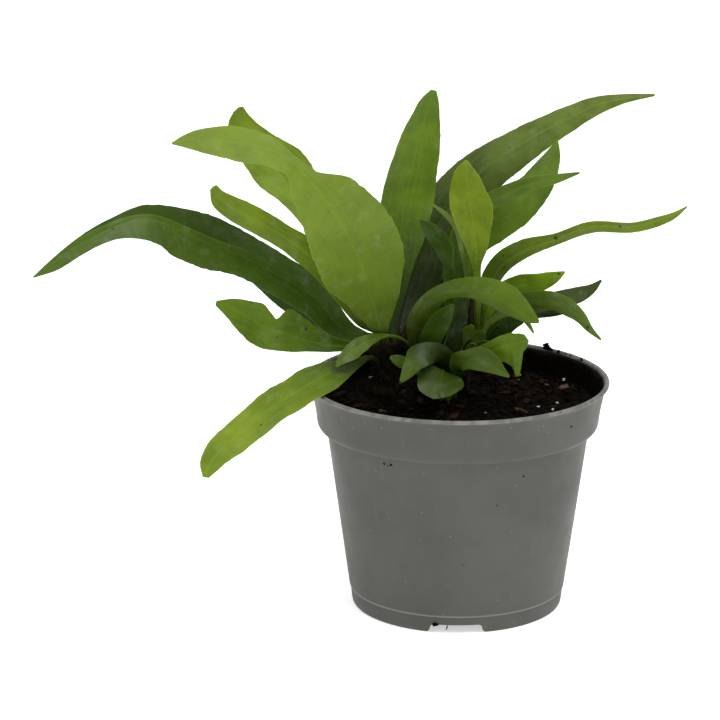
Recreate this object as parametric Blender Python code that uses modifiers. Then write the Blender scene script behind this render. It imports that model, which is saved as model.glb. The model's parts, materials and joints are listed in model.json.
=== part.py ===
"""A young strap fern in a grey nursery pot 120 mm across.

The pot stands on the ground plane and its axis is the world's Z axis. The front of the plant looks
towards -Y. Every size below is in millimetres and is turned into metres where a mesh is made.
"""

import math
from collections import namedtuple

import bmesh
import bpy
from mathutils import Vector, noise

MM = 0.001
OBJECT_NAME = "potted_strap_fern"

# Driving dimensions of the pot
RIM_RADIUS = 60.0
POT_HEIGHT = 92.5
COLLAR_DEPTH = 18.8
WALL_TOP_RADIUS = 52.5
FOOT_RADIUS = 42.2
WALL_THICKNESS = 1.3
FLOOR_UNDERSIDE = 3.9
FLOOR_TOP = 5.2
PAD_RADIUS = 8.0
POT_STEPS = 36

# Notches in the foot ring and drain holes in the floor
NOTCH_COUNT = 3
NOTCH_WIDTH = 21.0
NOTCH_HEIGHT = 3.6
DRAIN_COUNT = 6
DRAIN_RADIUS = 3.2
DRAIN_CIRCLE = 26.0

# Soil and rhizome
SOIL_LEVEL = 82.5
SOIL_BUMP = 1.2
SOIL_RINGS = 10
SOIL_STEPS = 36
CLEARANCE = 0.3
RHIZOME_PLACE = (-30.0, 13.6)
RHIZOME_TOP = 104.0
RHIZOME_FOOT_RADIUS = 5.0
RHIZOME_BUMP = 0.10
RHIZOME_STEPS = 14
ROOT_DEPTH = 76.0
SOCKET_DEPTH = 4.5

# Stems and blades
STEM_THICKNESS = 2.0
STEM_HALF_WIDTH = 1.1
BLADE_THICKNESS = 0.8
EDGE_THICKNESS = 0.6
RIB_HEIGHT = 0.35
ROW_SPACING = 10.0
RIPPLE_LENGTH = 15.0
RIPPLE_OFFSET = 2.1
WIDE_BLADE = 8.0
HOLE_RADIUS = 1.5
HOLE_REACH = 8.0
JUVENILE_BASE_RADIUS = 1.5

# The way that the front of the plant looks at its viewer: a little above level
VIEW = Vector((-0.028, 0.962, -0.271))

# A frond: its root and the point where it rises out of what holds it, its tone, the side of the
# blade that faces the front (1 upper, -1 underside), how far its edges lift as a share of its half
# width, the height of the ripple along its edges, and its stations. Each station is a point on the
# midrib (x, y, z), the half width on its left and on its right, and the blade's turn in degrees.
Frond = namedtuple("Frond", "rise tone face cup ripple stations")


def in_soil(x, y):
    """Root and rise of a stem that stands upright in the soil."""
    return [(x, y, ROOT_DEPTH), (x, y, SOIL_LEVEL + 1.5)]


def in_rhizome(x, y):
    """Root and rise of a stem that stands upright in the top of the main rhizome."""
    return [(x, y, RHIZOME_TOP - SOCKET_DEPTH), (x, y, RHIZOME_TOP + 0.5)]


FRONDS = {
    "frond_long_left": Frond(
        in_rhizome(-34.6, 13.2), "deep", 1, 0.18, 0.5, [
            (-44.5, 14, 107.5, 4.2, 3.9, 10), (-58, 12, 122.5, 8, 7.1, 10), (-73, 8, 133, 8.3, 8, 10),
            (-86.5, 3, 141.5, 8.5, 9, 10), (-99, -3, 148, 10.7, 10.5, 12),
            (-110, -10, 155, 11.3, 8.5, 15), (-121.5, -17, 161, 10.6, 5.4, 20),
            (-134.5, -25, 159, 5.1, 3.6, 10), (-141.5, -30, 156.5, 4.1, 3.1, 0),
            (-148, -33, 153.5, 4.2, 2.1, 0), (-156.5, -37, 148, 3.5, 1.2, 0),
            (-163.5, -40, 143, 0.3, 0.3, 0),
        ]),
    "frond_under_left": Frond(
        in_rhizome(-33.2, 17.2), "dark", 1, 0.1, 0.4, [
            (-45.5, 20, 104, 2.4, 2, 0), (-55, 25, 108.5, 3.6, 3.7, -8), (-64, 29, 114, 5.3, 5.1, -14),
            (-73.5, 33, 119, 4.5, 5.3, -18), (-80, 35, 123.5, 3.7, 4.9, -18),
            (-85.5, 37, 126.5, 2, 3, -15), (-88, 38, 128.5, 0.4, 0.4, -10),
        ]),
    "frond_forked_left": Frond(
        in_rhizome(-32.6, 9.8), "fresh", 1, 0.1, 0.5, [
            (-44, 8, 103.5, 2, 2, 0), (-51, 3, 105, 2.9, 3.6, 10), (-59, -1, 107.5, 4.2, 7.2, 15),
            (-65, -5, 110.5, 6.3, 9.2, 15), (-68, -7, 112, 7.1, 10.2, 15), (-70, -8, 113, 7.6, 9.2, 15),
            (-72.5, -9, 114, 8.2, 5, 15), (-76, -11, 116, 8.8, 6.2, 15),
            (-79.5, -13, 118.5, 8.6, 7.7, 15), (-84, -16, 122, 7.1, 6.3, 15),
            (-89, -19, 125.5, 4.4, 4.3, 15), (-94.5, -22, 128.5, 1, 1, 15),
        ]),
    "frond_low_left": Frond(
        [(-31, 11.2, 94.5), (-34.5, 7.5, 98.5)], "lime", 1, 0.1, 0.5, [
            (-38.5, 3, 98.5, 1.6, 2, 10), (-45, -6, 98.5, 4.6, 4, 34), (-55, -20, 97.5, 10, 8, 44),
            (-63.5, -26, 93.5, 9.5, 8, 42), (-73.5, -30, 88, 9.2, 8, 40), (-81, -34, 82.5, 8.4, 6.9, 35),
            (-87, -37, 78, 8.2, 6.9, 35), (-93, -40, 73, 6.9, 6.2, 35), (-96.5, -43, 68, 4.6, 4.4, 35),
            (-97.5, -45, 64.5, 1.3, 1.6, 35),
        ]),
    "frond_small_front": Frond(
        in_soil(-14.8, 19.8), "lime", 1, 0.15, 0.2, [
            (-16, 16, 96.5, 0.6, 0.6, 0), (-19, 11, 102.5, 0.6, 0.6, 0), (-23.5, 7, 107, 0.7, 0.7, 0),
            (-29, 3, 109, 0.8, 0.8, 0), (-33.5, -1, 109, 1.8, 1.8, 0), (-39, -6, 107.5, 3.3, 3.1, 10),
            (-43.5, -11, 105, 3.3, 2.7, 10), (-46.5, -14, 103, 1.6, 1.6, 0),
            (-48, -15, 101, 0.4, 0.4, 0),
        ]),
    "frond_broad_front": Frond(
        in_rhizome(-28.6, 9.2), "pale", -1, -0.1, 0.5, [
            (-31, 4, 111, 2.8, 3.6, 0), (-32.5, 0, 118, 5.9, 8, 4), (-34.5, -6, 127, 9.8, 13.3, 8),
            (-36.5, -13, 137.5, 15.2, 17.8, 10), (-41.5, -23, 152.5, 15.9, 19, 12),
            (-46.5, -30, 164, 14.6, 16.5, 12), (-52, -35, 174, 11.9, 12, 12),
            (-57.5, -37, 181, 9.6, 5.3, 25), (-63.5, -38, 188, 8.1, 6.2, 55),
            (-71.5, -39, 193, 8.5, 9.4, 50), (-79.5, -41, 195.5, 9, 10.4, 45),
            (-89, -43, 197.5, 8.2, 8.6, 40), (-98, -46, 198.5, 5.4, 5.5, 35),
            (-103.5, -48, 198.5, 3.1, 3, 30), (-108.5, -50, 198, 0.3, 0.4, 30),
        ]),
    "frond_curl_high_left": Frond(
        in_rhizome(-29.4, 18), "fresh", 1, 0.18, 0.5, [
            (-37.5, 21, 109.5, 2.4, 2.4, 0), (-44, 25, 119.5, 2.8, 3.6, 0), (-51, 28, 133, 3.3, 5.6, 6),
            (-58, 31, 146, 3.9, 7.9, 12), (-66, 34, 158, 6.3, 12, 18), (-74, 36, 169, 10.8, 12.5, 20),
            (-81, 36, 178, 9.7, 8, 18), (-86, 34, 185.5, 8.8, 5.4, 16), (-88, 31, 192, 6.1, 3.2, 20),
            (-88, 27, 196, 3.1, 1.7, 30),
        ]),
    "frond_narrow_left": Frond(
        in_rhizome(-30.4, 13.6), "fresh", 1, 0.18, 0.3, [
            (-39, 11, 112.5, 2, 2, 0), (-47, 9, 125, 3.7, 3.5, 5), (-54.5, 7, 136, 5, 4.9, 10),
            (-62, 5, 143.5, 5.6, 5.5, 15), (-69, 3, 149, 5.4, 4.9, 20), (-77.5, 0, 155, 5.6, 5.1, 20),
            (-85, -3, 160, 5.6, 4.9, 20), (-90.5, -5, 164, 5.3, 3.9, 18), (-94.5, -7, 168, 4.1, 2.7, 16),
            (-96, -9, 172, 2, 1.4, 20),
        ]),
    "frond_upright": Frond(
        in_rhizome(-25.8, 12.4), "fresh", 1, 0.18, 0.4, [
            (-26.5, 14, 110.5, 2, 2, 0), (-26, 17, 121, 3.7, 4, 4), (-25, 21, 133.5, 5.8, 6.7, 8),
            (-23.5, 25, 146, 8.7, 9.9, 14), (-22, 29, 158.5, 10.5, 11.6, 20),
            (-19, 32, 171, 10.3, 10.2, 24), (-16.5, 34, 182, 8.6, 8.9, 24),
            (-13.5, 35, 192.5, 6, 5.6, 22), (-11.5, 35, 198.5, 4.1, 3, 20), (-10.5, 35, 202, 1.4, 1, 20),
        ]),
    "frond_long_right": Frond(
        in_rhizome(-26.3, 16.2), "olive", -1, -0.18, 0.4, [
            (-24, 19, 107, 2, 3.6, 0), (-21.5, 25, 116, 3.3, 8, -4), (-18, 30, 127, 5, 10.3, -8),
            (-12, 36, 140, 8.3, 10, -14), (-2, 41, 154.5, 12.2, 10.9, -18),
            (10, 44, 167.5, 10.6, 9.5, -20), (21.5, 46, 175.5, 8.5, 8.3, -20),
            (32.5, 48, 182, 7.1, 6.7, -20), (44, 50, 187.5, 5.9, 5, -18),
            (54.5, 51, 192.5, 4.4, 3.6, -15), (66.5, 52, 195.5, 2.2, 1.7, -10),
            (78.5, 53, 197, 0.5, 0.5, -10),
        ]),
    "frond_broad_right": Frond(
        in_soil(-4.6, 27.2), "deep", 1, 0.15, 0.4, [
            (-2.5, 27, 91.5, 1, 1, 0), (0, 28, 105.5, 2.4, 2.4, 0), (2.5, 31, 121, 3.7, 2.8, 4),
            (5.5, 34, 134.5, 6.3, 3, 10), (11, 36, 146.5, 9.6, 9.1, 18), (23, 37, 155, 9.5, 8.5, 24),
            (31.5, 37, 164.5, 7, 6.9, 26), (34.5, 37, 170, 5.8, 5.6, 26), (37.5, 37, 175.5, 4, 3.1, 24),
            (39, 36, 181.5, 0.4, 0.4, 20),
        ]),
    "frond_pointed_right": Frond(
        in_soil(-8.2, 27.2), "fresh", 1, 0.15, 0.3, [
            (-6, 25.5, 92, 1, 1, 0), (-4, 23, 106, 1.6, 1.6, 0), (-3.5, 21, 121, 2.4, 2.4, 0),
            (-3, 22, 134.5, 3.3, 3.2, 5), (1, 23, 147.5, 3.8, 3.6, 10), (8.5, 23, 157, 3.9, 3.6, 16),
            (15.5, 23, 161, 4, 3.2, 20), (26, 22, 166, 3.5, 2.8, 20), (38, 20, 169.5, 2.1, 1.9, 15),
            (47.5, 18, 172.5, 0.4, 0.4, 15),
        ]),
    "frond_bright_upright": Frond(
        in_soil(-4.2, 20), "lime", 1, 0.2, 0.3, [
            (0.5, 16, 94.5, 1, 1, 0), (6.5, 13, 105.5, 1, 1, 0), (7.5, 10, 118, 1.2, 1.2, 0),
            (7.5, 8, 131, 1.3, 1.3, 0), (7, 7, 138, 2, 2, -6), (7, 6, 143.5, 3.7, 4, -12),
            (6, 4, 150.5, 5.6, 6.4, -18), (5, 1, 158.5, 7.5, 8.8, -22), (4, -2, 166, 7.9, 9.6, -24),
            (3, -6, 174, 6.1, 7.3, -24), (2.5, -9, 179.5, 3.9, 4.5, -20),
            (2.5, -11, 183.5, 0.6, 0.7, -20),
        ]),
    "frond_slim_upright": Frond(
        in_soil(-6.4, 23.6), "deep", 1, 0.15, 0.2, [
            (-3.5, 20.5, 93.5, 0.9, 0.9, 0), (0, 18, 107.5, 0.9, 0.9, 0), (1, 16.5, 120.5, 1.6, 1.6, 0),
            (1, 16, 132, 2.5, 2.4, 10), (0, 15.5, 141, 2.1, 1.8, 15), (-1.5, 15, 147.5, 1.3, 1.2, 15),
            (-2, 14.5, 151.5, 0.4, 0.4, 15),
        ]),
    "frond_dark_short": Frond(
        in_soil(-8.2, 20), "dark", 1, 0.2, 0.3, [
            (-6, 15.5, 95, 0.9, 0.9, 0), (-3.5, 12, 106.5, 0.9, 0.9, 0), (-2.5, 11.5, 118.5, 1, 1, 0),
            (-3.5, 11, 128.5, 1.1, 1.1, 0), (-4.5, 10, 137, 2.1, 2.1, -10), (-6, 9, 143, 3.3, 3.6, -18),
            (-9, 7, 149, 3.6, 3.9, -22), (-12.5, 6, 153, 2.6, 2.8, -22), (-15.5, 5, 156, 0.4, 0.4, -20),
        ]),
    "frond_sprig": Frond(
        in_soil(-2.6, 23.6), "olive", 1, 0.1, 0.1, [
            (-0.5, 20.5, 93.5, 0.6, 0.6, 0), (2, 18, 105, 0.6, 0.6, 0), (3.5, 14.5, 117, 0.6, 0.6, 0),
            (3.5, 11.5, 126, 0.7, 0.7, 0), (1, 9.5, 142.5, 0.9, 0.9, 0), (-1.5, 9, 152.5, 1.2, 1.2, 0),
            (-5.5, 8.5, 157.5, 1, 1, 0), (-10.5, 8, 161.5, 0.4, 0.4, 0),
        ]),
    "frond_arching_front": Frond(
        in_soil(-12.8, 16.2), "fresh", 1, -0.15, 0.4, [
            (-14.5, 11, 96, 1.2, 1.2, 0), (-17.5, 4, 106, 2.4, 3.2, 0), (-17, 1, 116, 3.2, 5.2, 0),
            (-13, -1, 123.5, 3.1, 5.4, 10), (-5.5, -4, 129, 3.5, 3.4, 15), (3, -7, 130.5, 5.1, 3, 15),
            (11.5, -10, 129.5, 6.6, 4.1, 10), (18.5, -12, 127, 6.8, 4.5, 10), (24, -14, 124, 5, 3.5, 10),
            (28.5, -15, 121.5, 2.7, 2.2, 0), (31.5, -15, 120, 0.6, 0.6, 0),
        ]),
    "frond_wavy_right": Frond(
        in_soil(-0.8, 27.2), "deep", 1, 0.22, 0.6, [
            (3, 24.5, 92.5, 1, 1, 0), (9.5, 21, 106, 1.2, 1.2, 0), (11.5, 20, 117.5, 2.2, 2, 0),
            (13, 18, 127, 4.6, 2.8, 0), (18, 15, 136, 5, 3.4, 0), (26, 11, 142.5, 4.4, 3.2, 0),
            (38, 5, 148.5, 2.5, 2.3, 10), (52, -2, 155.5, 2.3, 2.5, 20), (69, -9, 157.5, 1.6, 2.4, 10),
            (78, -13, 161, 1.4, 2.3, 0), (83.5, -16, 164, 0.9, 1.5, 0), (88, -18, 167.5, 0.3, 0.3, 0),
        ]),
    "frond_mid_right": Frond(
        in_soil(-0.6, 20.8), "fresh", 1, 0.15, 0.3, [
            (5, 18, 94, 1, 1, 0), (10, 15, 105, 1.4, 1.4, 0), (14, 11, 118, 2.4, 2.4, 0),
            (18, 8, 127, 3.3, 3.7, 8), (24, 5, 129.5, 4.5, 4.7, 15), (32, 1, 132.5, 3.6, 4.2, 20),
            (38, -2, 135.5, 2, 2.6, 20), (41.5, -4, 137.5, 0.5, 0.5, 20),
        ]),
    "frond_drooping_right": Frond(
        in_soil(-1, 14.2), "deep", 1, -0.15, 0.4, [
            (3.5, 11, 96, 1, 1, 0), (8.5, 8, 105, 1.2, 1.2, 0), (13.5, 4, 114.5, 2, 2, 0),
            (20.5, 0, 123, 3.2, 3.2, 0), (30, -6, 126.5, 3.5, 3.7, 10), (37, -11, 127.5, 3.6, 4, 20),
            (42.5, -15, 126, 3.4, 3.5, 20), (47.5, -19, 123, 2.5, 2.3, 15), (51, -22, 119, 1.5, 1.2, 10),
            (55.5, -24, 115.5, 0.4, 0.4, 0),
        ]),
    "frond_back_right": Frond(
        in_soil(1, 30.6), "deep", 1, 0.15, 0.3, [
            (4.5, 28, 91.5, 1, 1, 0), (9.5, 27, 101, 1.2, 1.2, 0), (17.5, 26, 109, 2, 2.1, -8),
            (29, 26, 115.5, 3.2, 3.5, -16), (41, 27, 118.5, 3.3, 4.2, -22),
            (49, 28, 120.5, 2.9, 3.9, -22), (53.5, 29, 122.5, 1.6, 2.5, -20),
            (57.5, 30, 125.5, 0.4, 0.4, -20),
        ]),
    "frond_shade_right": Frond(
        in_soil(-3, 30.8), "dark", 1, 0.08, 0.3, [
            (-0.5, 32, 90, 1.2, 1.2, 0), (2.5, 33, 101, 5.3, 4.1, -5), (8, 34, 108.5, 8.2, 5.9, -12),
            (17, 34, 110.5, 5.4, 5.3, -18), (25, 34, 110.5, 3.7, 3.9, -18), (33, 34, 111, 2.9, 2.6, -15),
            (39.5, 34, 111, 1.8, 1.7, -10), (44, 34, 111, 0.4, 0.4, -10),
        ]),
    "frond_thin_drooping": Frond(
        in_soil(-5.6, 9.8), "olive", 1, 0.1, 0.1, [
            (-1.5, 11, 94, 0.8, 0.8, 0), (1.5, 9.5, 99, 0.8, 0.8, 0), (5, 6.5, 103.5, 0.8, 0.8, 0),
            (8.5, 3, 108.5, 0.8, 0.8, 0), (13.5, 0, 116.5, 1.2, 1.2, 0), (20, -6, 121, 1.2, 1.2, 0),
            (25, -9, 120.5, 1.2, 1.2, 0), (27.5, -11, 118, 0.9, 0.9, 0), (29.5, -13, 115, 0.4, 0.4, 0),
        ]),
    "frond_lobed_right": Frond(
        in_soil(-3.6, 4.8), "lime", 1, 0.04, 0.1, [
            (0.5, 2.5, 91.5, 1, 1, 0), (3.5, -4, 98.5, 1.6, 1.6, 0), (7, -8, 103.5, 2.4, 2.4, 0),
            (10, -10.5, 106, 3.2, 3.2, 0), (13, -12, 107.5, 3.5, 5.1, 0), (15.5, -13, 109, 3.7, 6.3, 0),
            (17.5, -13.5, 110, 3.9, 7.9, 0), (19.5, -13.5, 110.5, 4.1, 9.8, 0),
            (21, -14, 111, 4.1, 13.3, 0), (22.5, -14, 111, 3.9, 13.7, 0),
            (24, -14.5, 111.5, 3.7, 5.1, 0), (26, -14.5, 112, 2.9, 3.3, 0),
            (27.5, -15, 112, 0.5, 0.5, 0),
        ]),
    "frond_pointed_front": Frond(
        in_soil(-6.4, 5), "fresh", 1, 0.12, 0.3, [
            (-3, 1, 88.5, 1, 1, 0), (-2, -2, 94.5, 1, 1, 0), (-1.5, -7, 99.5, 2, 2, 0),
            (0, -11.5, 103, 3.5, 4.3, 0), (3.5, -14.5, 104.5, 3.7, 3.9, 10),
            (8, -17, 105.5, 4.9, 4.7, 10), (13, -19, 103.5, 4.5, 3.3, 10),
            (16.5, -20.5, 101.5, 2.4, 1.9, 10), (20, -22, 99.5, 0.4, 0.4, 0),
        ]),
    "frond_wavy_front": Frond(
        in_soil(-9, 12.6), "lime", 1, -0.12, 0.9, [
            (-7, 4, 92, 1.6, 1.6, 0), (-5, -1, 98, 5.2, 4, 0), (-7, -8, 104.5, 4.3, 4.1, 10),
            (-11.5, -13, 106.5, 4.6, 4.8, 20), (-15.5, -16, 105.5, 4.8, 5.7, 20),
            (-18.5, -18, 102, 3.1, 3.4, 15), (-20.5, -19, 99, 2.1, 2.2, 10),
            (-22.5, -20, 96.5, 0.6, 0.6, 0),
        ]),
    "frond_round_front": Frond(
        in_soil(-9, 7.6), "fresh", 1, -0.1, 0.6, [
            (-8.5, 2, 87.5, 1.2, 1.2, 0), (-7, -1.5, 92.5, 1.4, 1.4, 0), (-6, -4, 96, 2.4, 2.4, 0),
            (-6, -7, 97.5, 5.5, 5.5, 0), (-6.5, -11.5, 96.5, 7.9, 7.9, 0), (-7, -16, 94.5, 9.1, 9.1, 0),
            (-7, -19.5, 92.5, 7.9, 8.2, 0), (-6.5, -22, 90.5, 3.1, 3.1, 0),
        ]),
    "frond_stub_front": Frond(
        in_soil(-12.6, 8.4), "lime", 1, 0.1, 0.2, [
            (-14, 4, 90.5, 0.9, 0.9, 0), (-16.5, 1, 95, 1, 1, 0), (-19, -1, 98, 1.6, 1.6, 0),
            (-22.5, -2, 99.5, 2.4, 2.6, 0), (-25, -3, 101, 1.8, 2, 0), (-27, -3, 102, 0.6, 0.6, 0),
        ]),
    "frond_curled_front": Frond(
        in_soil(-12.6, 12), "fresh", 1, 0.2, 0.5, [
            (-12, 4, 96.5, 1, 1, 0), (-12.5, 0, 103.5, 2.4, 2, 0), (-11, -2, 109, 4.6, 3.9, 10),
            (-8.5, -3.5, 114.5, 4.8, 4.3, 15), (-5.5, -5, 120, 3.7, 3.5, 10),
            (-2, -6, 124.5, 0.6, 0.6, 0),
        ]),
    "frond_knob_tip": Frond(
        in_soil(-10, 16.6), "fresh", 1, 0.1, 0.1, [
            (-7.5, 11, 96, 0.9, 0.9, 0), (-4, 7.5, 107, 0.9, 0.9, 0), (-0.5, 5.5, 120, 1.6, 1.6, 0),
            (0, 5, 126.5, 1.9, 1.9, 0), (-0.5, 5, 129.5, 1.2, 1.2, 0), (-0.5, 5, 131, 0.5, 0.5, 0),
        ]),
    "frond_slim_front": Frond(
        in_soil(-7, 13.8), "deep", 1, 0.12, 0.2, [
            (-3.5, 7, 97, 0.9, 0.9, 0), (-2.5, 3.5, 103, 2.4, 2.4, 0), (-1, 2.5, 108.5, 3.4, 2.6, 0),
            (1, 2, 114.5, 2.8, 2.4, 0), (1.5, 1.5, 121, 1.8, 1.8, 0), (1, 1.5, 125, 0.4, 0.4, 0),
        ]),
    "frond_shade_front": Frond(
        in_soil(0.4, 17.4), "dark", 1, 0.08, 0.3, [
            (5, 14.5, 95, 1, 1, 0), (10.5, 12, 103, 2, 2, 0), (14, 11, 107.5, 3.6, 3.6, 0),
            (18, 10.5, 111, 4, 4, 0), (21.5, 10, 113, 3.2, 3.2, 0), (26, 9.5, 113.5, 0.6, 0.6, 0),
        ]),
    "frond_shade_back": Frond(
        in_soil(-12, 27), "dark", 1, 0.08, 0.3, [
            (-10, 28, 96.5, 2.4, 2.4, 0), (-11, 32, 105.5, 5, 5.3, 8), (-10.5, 36, 115, 6, 5.7, 14),
            (-8.5, 39, 124, 4.8, 4.5, 16), (-6.5, 41, 130, 2.1, 2, 12), (-5, 42, 134, 0.4, 0.4, 12),
        ]),
}

# Juvenile leaves: where their tuft stands, the middle of their tips, and how far their feet
# spread towards their tips; then the tip of each (x, y, z) and the half width of its round blade
JUVENILE_PLACE = (-2.0, 8.4)
JUVENILE_MIDDLE = (8.5, -4.5)
JUVENILE_SPREAD = 0.12
JUVENILES = [
    (5.5, -2.0, 115.0, 2.4), (10.0, -3.0, 113.0, 2.6), (12.0, -6.5, 109.5, 2.4), (6.5, -6.5, 108.5, 2.2),
]

# How wide a juvenile leaf is, as a share of its half width, at shares of the way to its tip
JUVENILE_OUTLINE = [(0.4, 0.25), (0.72, 0.28), (0.8, 0.75), (0.88, 1.0), (0.96, 0.75), (1.0, 0.3)]

# Bark chips, perlite and crumbs that stand out of the soil: x, y, length, width, height, heading
CHIPS = [
    (44.0, 12.0, 4.5, 3.4, 2.2, 40), (43.5, -9.0, 8.0, 5.0, 2.2, 15), (26.0, -35.5, 10.0, 4.5, 2.0, 20),
    (2.5, -22.0, 7.0, 4.0, 1.6, 70), (20.0, -22.0, 9.0, 3.5, 1.6, 150), (-26.0, -35.5, 5.0, 4.0, 2.0, 10),
    (-40.0, -22.0, 6.0, 4.0, 1.8, 60), (34.0, 30.0, 7.0, 4.0, 2.0, 120), (-6.0, -40.0, 5.0, 3.0, 1.6, 100),
    (10.0, 44.0, 8.0, 4.5, 2.0, 30), (-30.0, 38.0, 7.0, 4.0, 2.2, 75), (-48.0, 10.0, 6.0, 4.0, 2.0, 5),
]

TONES = {
    "deep": (0.075, 0.175, 0.020), "dark": (0.045, 0.110, 0.018), "fresh": (0.150, 0.290, 0.030),
    "lime": (0.230, 0.380, 0.045), "pale": (0.260, 0.370, 0.070), "olive": (0.130, 0.200, 0.050),
}


def make_material(name, color, roughness, metallic=0.0):
    """A plain material with the part's colour."""
    material = bpy.data.materials.new(name)
    material.use_nodes = True
    shader = material.node_tree.nodes["Principled BSDF"]
    shader.inputs["Base Color"].default_value = (*color, 1.0)
    shader.inputs["Roughness"].default_value = roughness
    shader.inputs["Metallic"].default_value = metallic
    return material


def add_object(name, mesh, collection, material=None):
    """Put a mesh into the scene as one named object."""
    obj = bpy.data.objects.new(name, mesh)
    collection.objects.link(obj)
    if material is not None:
        mesh.materials.append(material)
    return obj


def mesh_from_bmesh(name, bm):
    """Turn a bmesh into a mesh whose faces point out."""
    bmesh.ops.recalc_face_normals(bm, faces=bm.faces)
    mesh = bpy.data.meshes.new(name)
    bm.to_mesh(mesh)
    bm.free()
    return mesh


def turned_object(name, profile, steps, collection, material=None):
    """Turn a closed profile of (radius, height) points round the Z axis with a Screw modifier."""
    bm = bmesh.new()
    points = [bm.verts.new((radius * MM, 0.0, height * MM)) for radius, height in profile]
    for first, second in zip(points, points[1:]):
        bm.edges.new((first, second))
    mesh = bpy.data.meshes.new(name)
    bm.to_mesh(mesh)
    bm.free()
    obj = add_object(name, mesh, collection, material)
    screw = obj.modifiers.new("turn", "SCREW")
    screw.steps = steps
    screw.render_steps = steps
    screw.use_merge_vertices = True
    screw.merge_threshold = 0.00001
    return obj


def apply_modifiers(obj):
    """Replace an object's mesh by its evaluated mesh."""
    graph = bpy.context.evaluated_depsgraph_get()
    mesh = bpy.data.meshes.new_from_object(obj.evaluated_get(graph))
    obj.modifiers.clear()
    obj.data = mesh


def add_cutter(name, mesh, collection):
    """A shape that is cut out of another and isn't itself a piece."""
    cutter = add_object(name, mesh, collection)
    cutter.hide_render = True
    cutter.display_type = "WIRE"
    return cutter


def cylinder_mesh(name, start, end, radius, sides):
    """A closed cylinder between two points given in millimetres."""
    start, end = Vector(start) * MM, Vector(end) * MM
    bm = bmesh.new()
    bmesh.ops.create_cone(
        bm, cap_ends=True, segments=sides, radius1=radius * MM, radius2=radius * MM,
        depth=(end - start).length)
    turn = Vector((0.0, 0.0, 1.0)).rotation_difference(end - start).to_matrix().to_4x4()
    bmesh.ops.transform(bm, matrix=turn, verts=bm.verts)
    bmesh.ops.translate(bm, vec=(start + end) / 2, verts=bm.verts)
    return mesh_from_bmesh(name, bm)


def box_mesh(name, center, size, heading=0.0):
    """A closed box given in millimetres, turned about the Z axis."""
    bm = bmesh.new()
    bmesh.ops.create_cube(bm, size=1.0)
    bmesh.ops.scale(bm, vec=Vector(size) * MM, verts=bm.verts)
    bmesh.ops.translate(bm, vec=Vector(center) * MM, verts=bm.verts)
    spin = Vector((1.0, 0.0, 0.0)).rotation_difference(
        Vector((math.cos(heading), math.sin(heading), 0.0))).to_matrix()
    bmesh.ops.rotate(bm, matrix=spin, verts=bm.verts)
    return mesh_from_bmesh(name, bm)


def cut(obj, collection):
    """Cut all shapes of a collection out of an object."""
    boolean = obj.modifiers.new("cut", "BOOLEAN")
    boolean.operation = "DIFFERENCE"
    boolean.operand_type = "COLLECTION"
    boolean.collection = collection
    boolean.solver = "EXACT"


def pot_profile():
    """Profile of the pot shell, down the outside, under the foot and up the inside."""
    wall_top = POT_HEIGHT - COLLAR_DEPTH
    slope = (WALL_TOP_RADIUS - FOOT_RADIUS - 1.0) / (wall_top - 7.0)
    inner = WALL_THICKNESS
    outside = [
        (RIM_RADIUS - 1.2, POT_HEIGHT - 0.1), (RIM_RADIUS - 0.6, POT_HEIGHT), (RIM_RADIUS, POT_HEIGHT - 0.4),
        (RIM_RADIUS + 0.2, POT_HEIGHT - 1.0), (RIM_RADIUS - 0.9, POT_HEIGHT - 1.9),
        (RIM_RADIUS - 1.9, POT_HEIGHT - 5.0), (RIM_RADIUS - 3.1, POT_HEIGHT - 11.0),
        (RIM_RADIUS - 3.8, wall_top + 2.3), (RIM_RADIUS - 4.3, wall_top + 0.9),
        (RIM_RADIUS - 5.0, wall_top), (WALL_TOP_RADIUS + 0.5, wall_top), (WALL_TOP_RADIUS, wall_top - 0.5),
        (WALL_TOP_RADIUS - slope * 30.0, wall_top - 30.0), (FOOT_RADIUS + 1.0, 7.0),
        (FOOT_RADIUS + 0.6, 6.7), (FOOT_RADIUS, 0.9), (FOOT_RADIUS - 0.8, 0.0),
    ]
    underside = [
        (FOOT_RADIUS - 2.4, 0.0), (FOOT_RADIUS - 2.8, FLOOR_UNDERSIDE), (PAD_RADIUS + 0.8, FLOOR_UNDERSIDE),
        (PAD_RADIUS, 0.0), (0.0, 0.0),
    ]
    inside = [
        (0.0, FLOOR_TOP), (FOOT_RADIUS - 1.2, FLOOR_TOP), (FOOT_RADIUS - 0.2, 6.0),
        (WALL_TOP_RADIUS - inner, wall_top - 1.0), (WALL_TOP_RADIUS - inner + 0.6, wall_top + 1.2),
        (RIM_RADIUS - 5.6, wall_top + 1.6), (RIM_RADIUS - 5.0, wall_top + 2.8),
        (RIM_RADIUS - 4.4, POT_HEIGHT - 11.0), (RIM_RADIUS - 3.2, POT_HEIGHT - 4.5),
        (RIM_RADIUS - 1.9, POT_HEIGHT - 0.8),
    ]
    return outside, underside, inside


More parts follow.
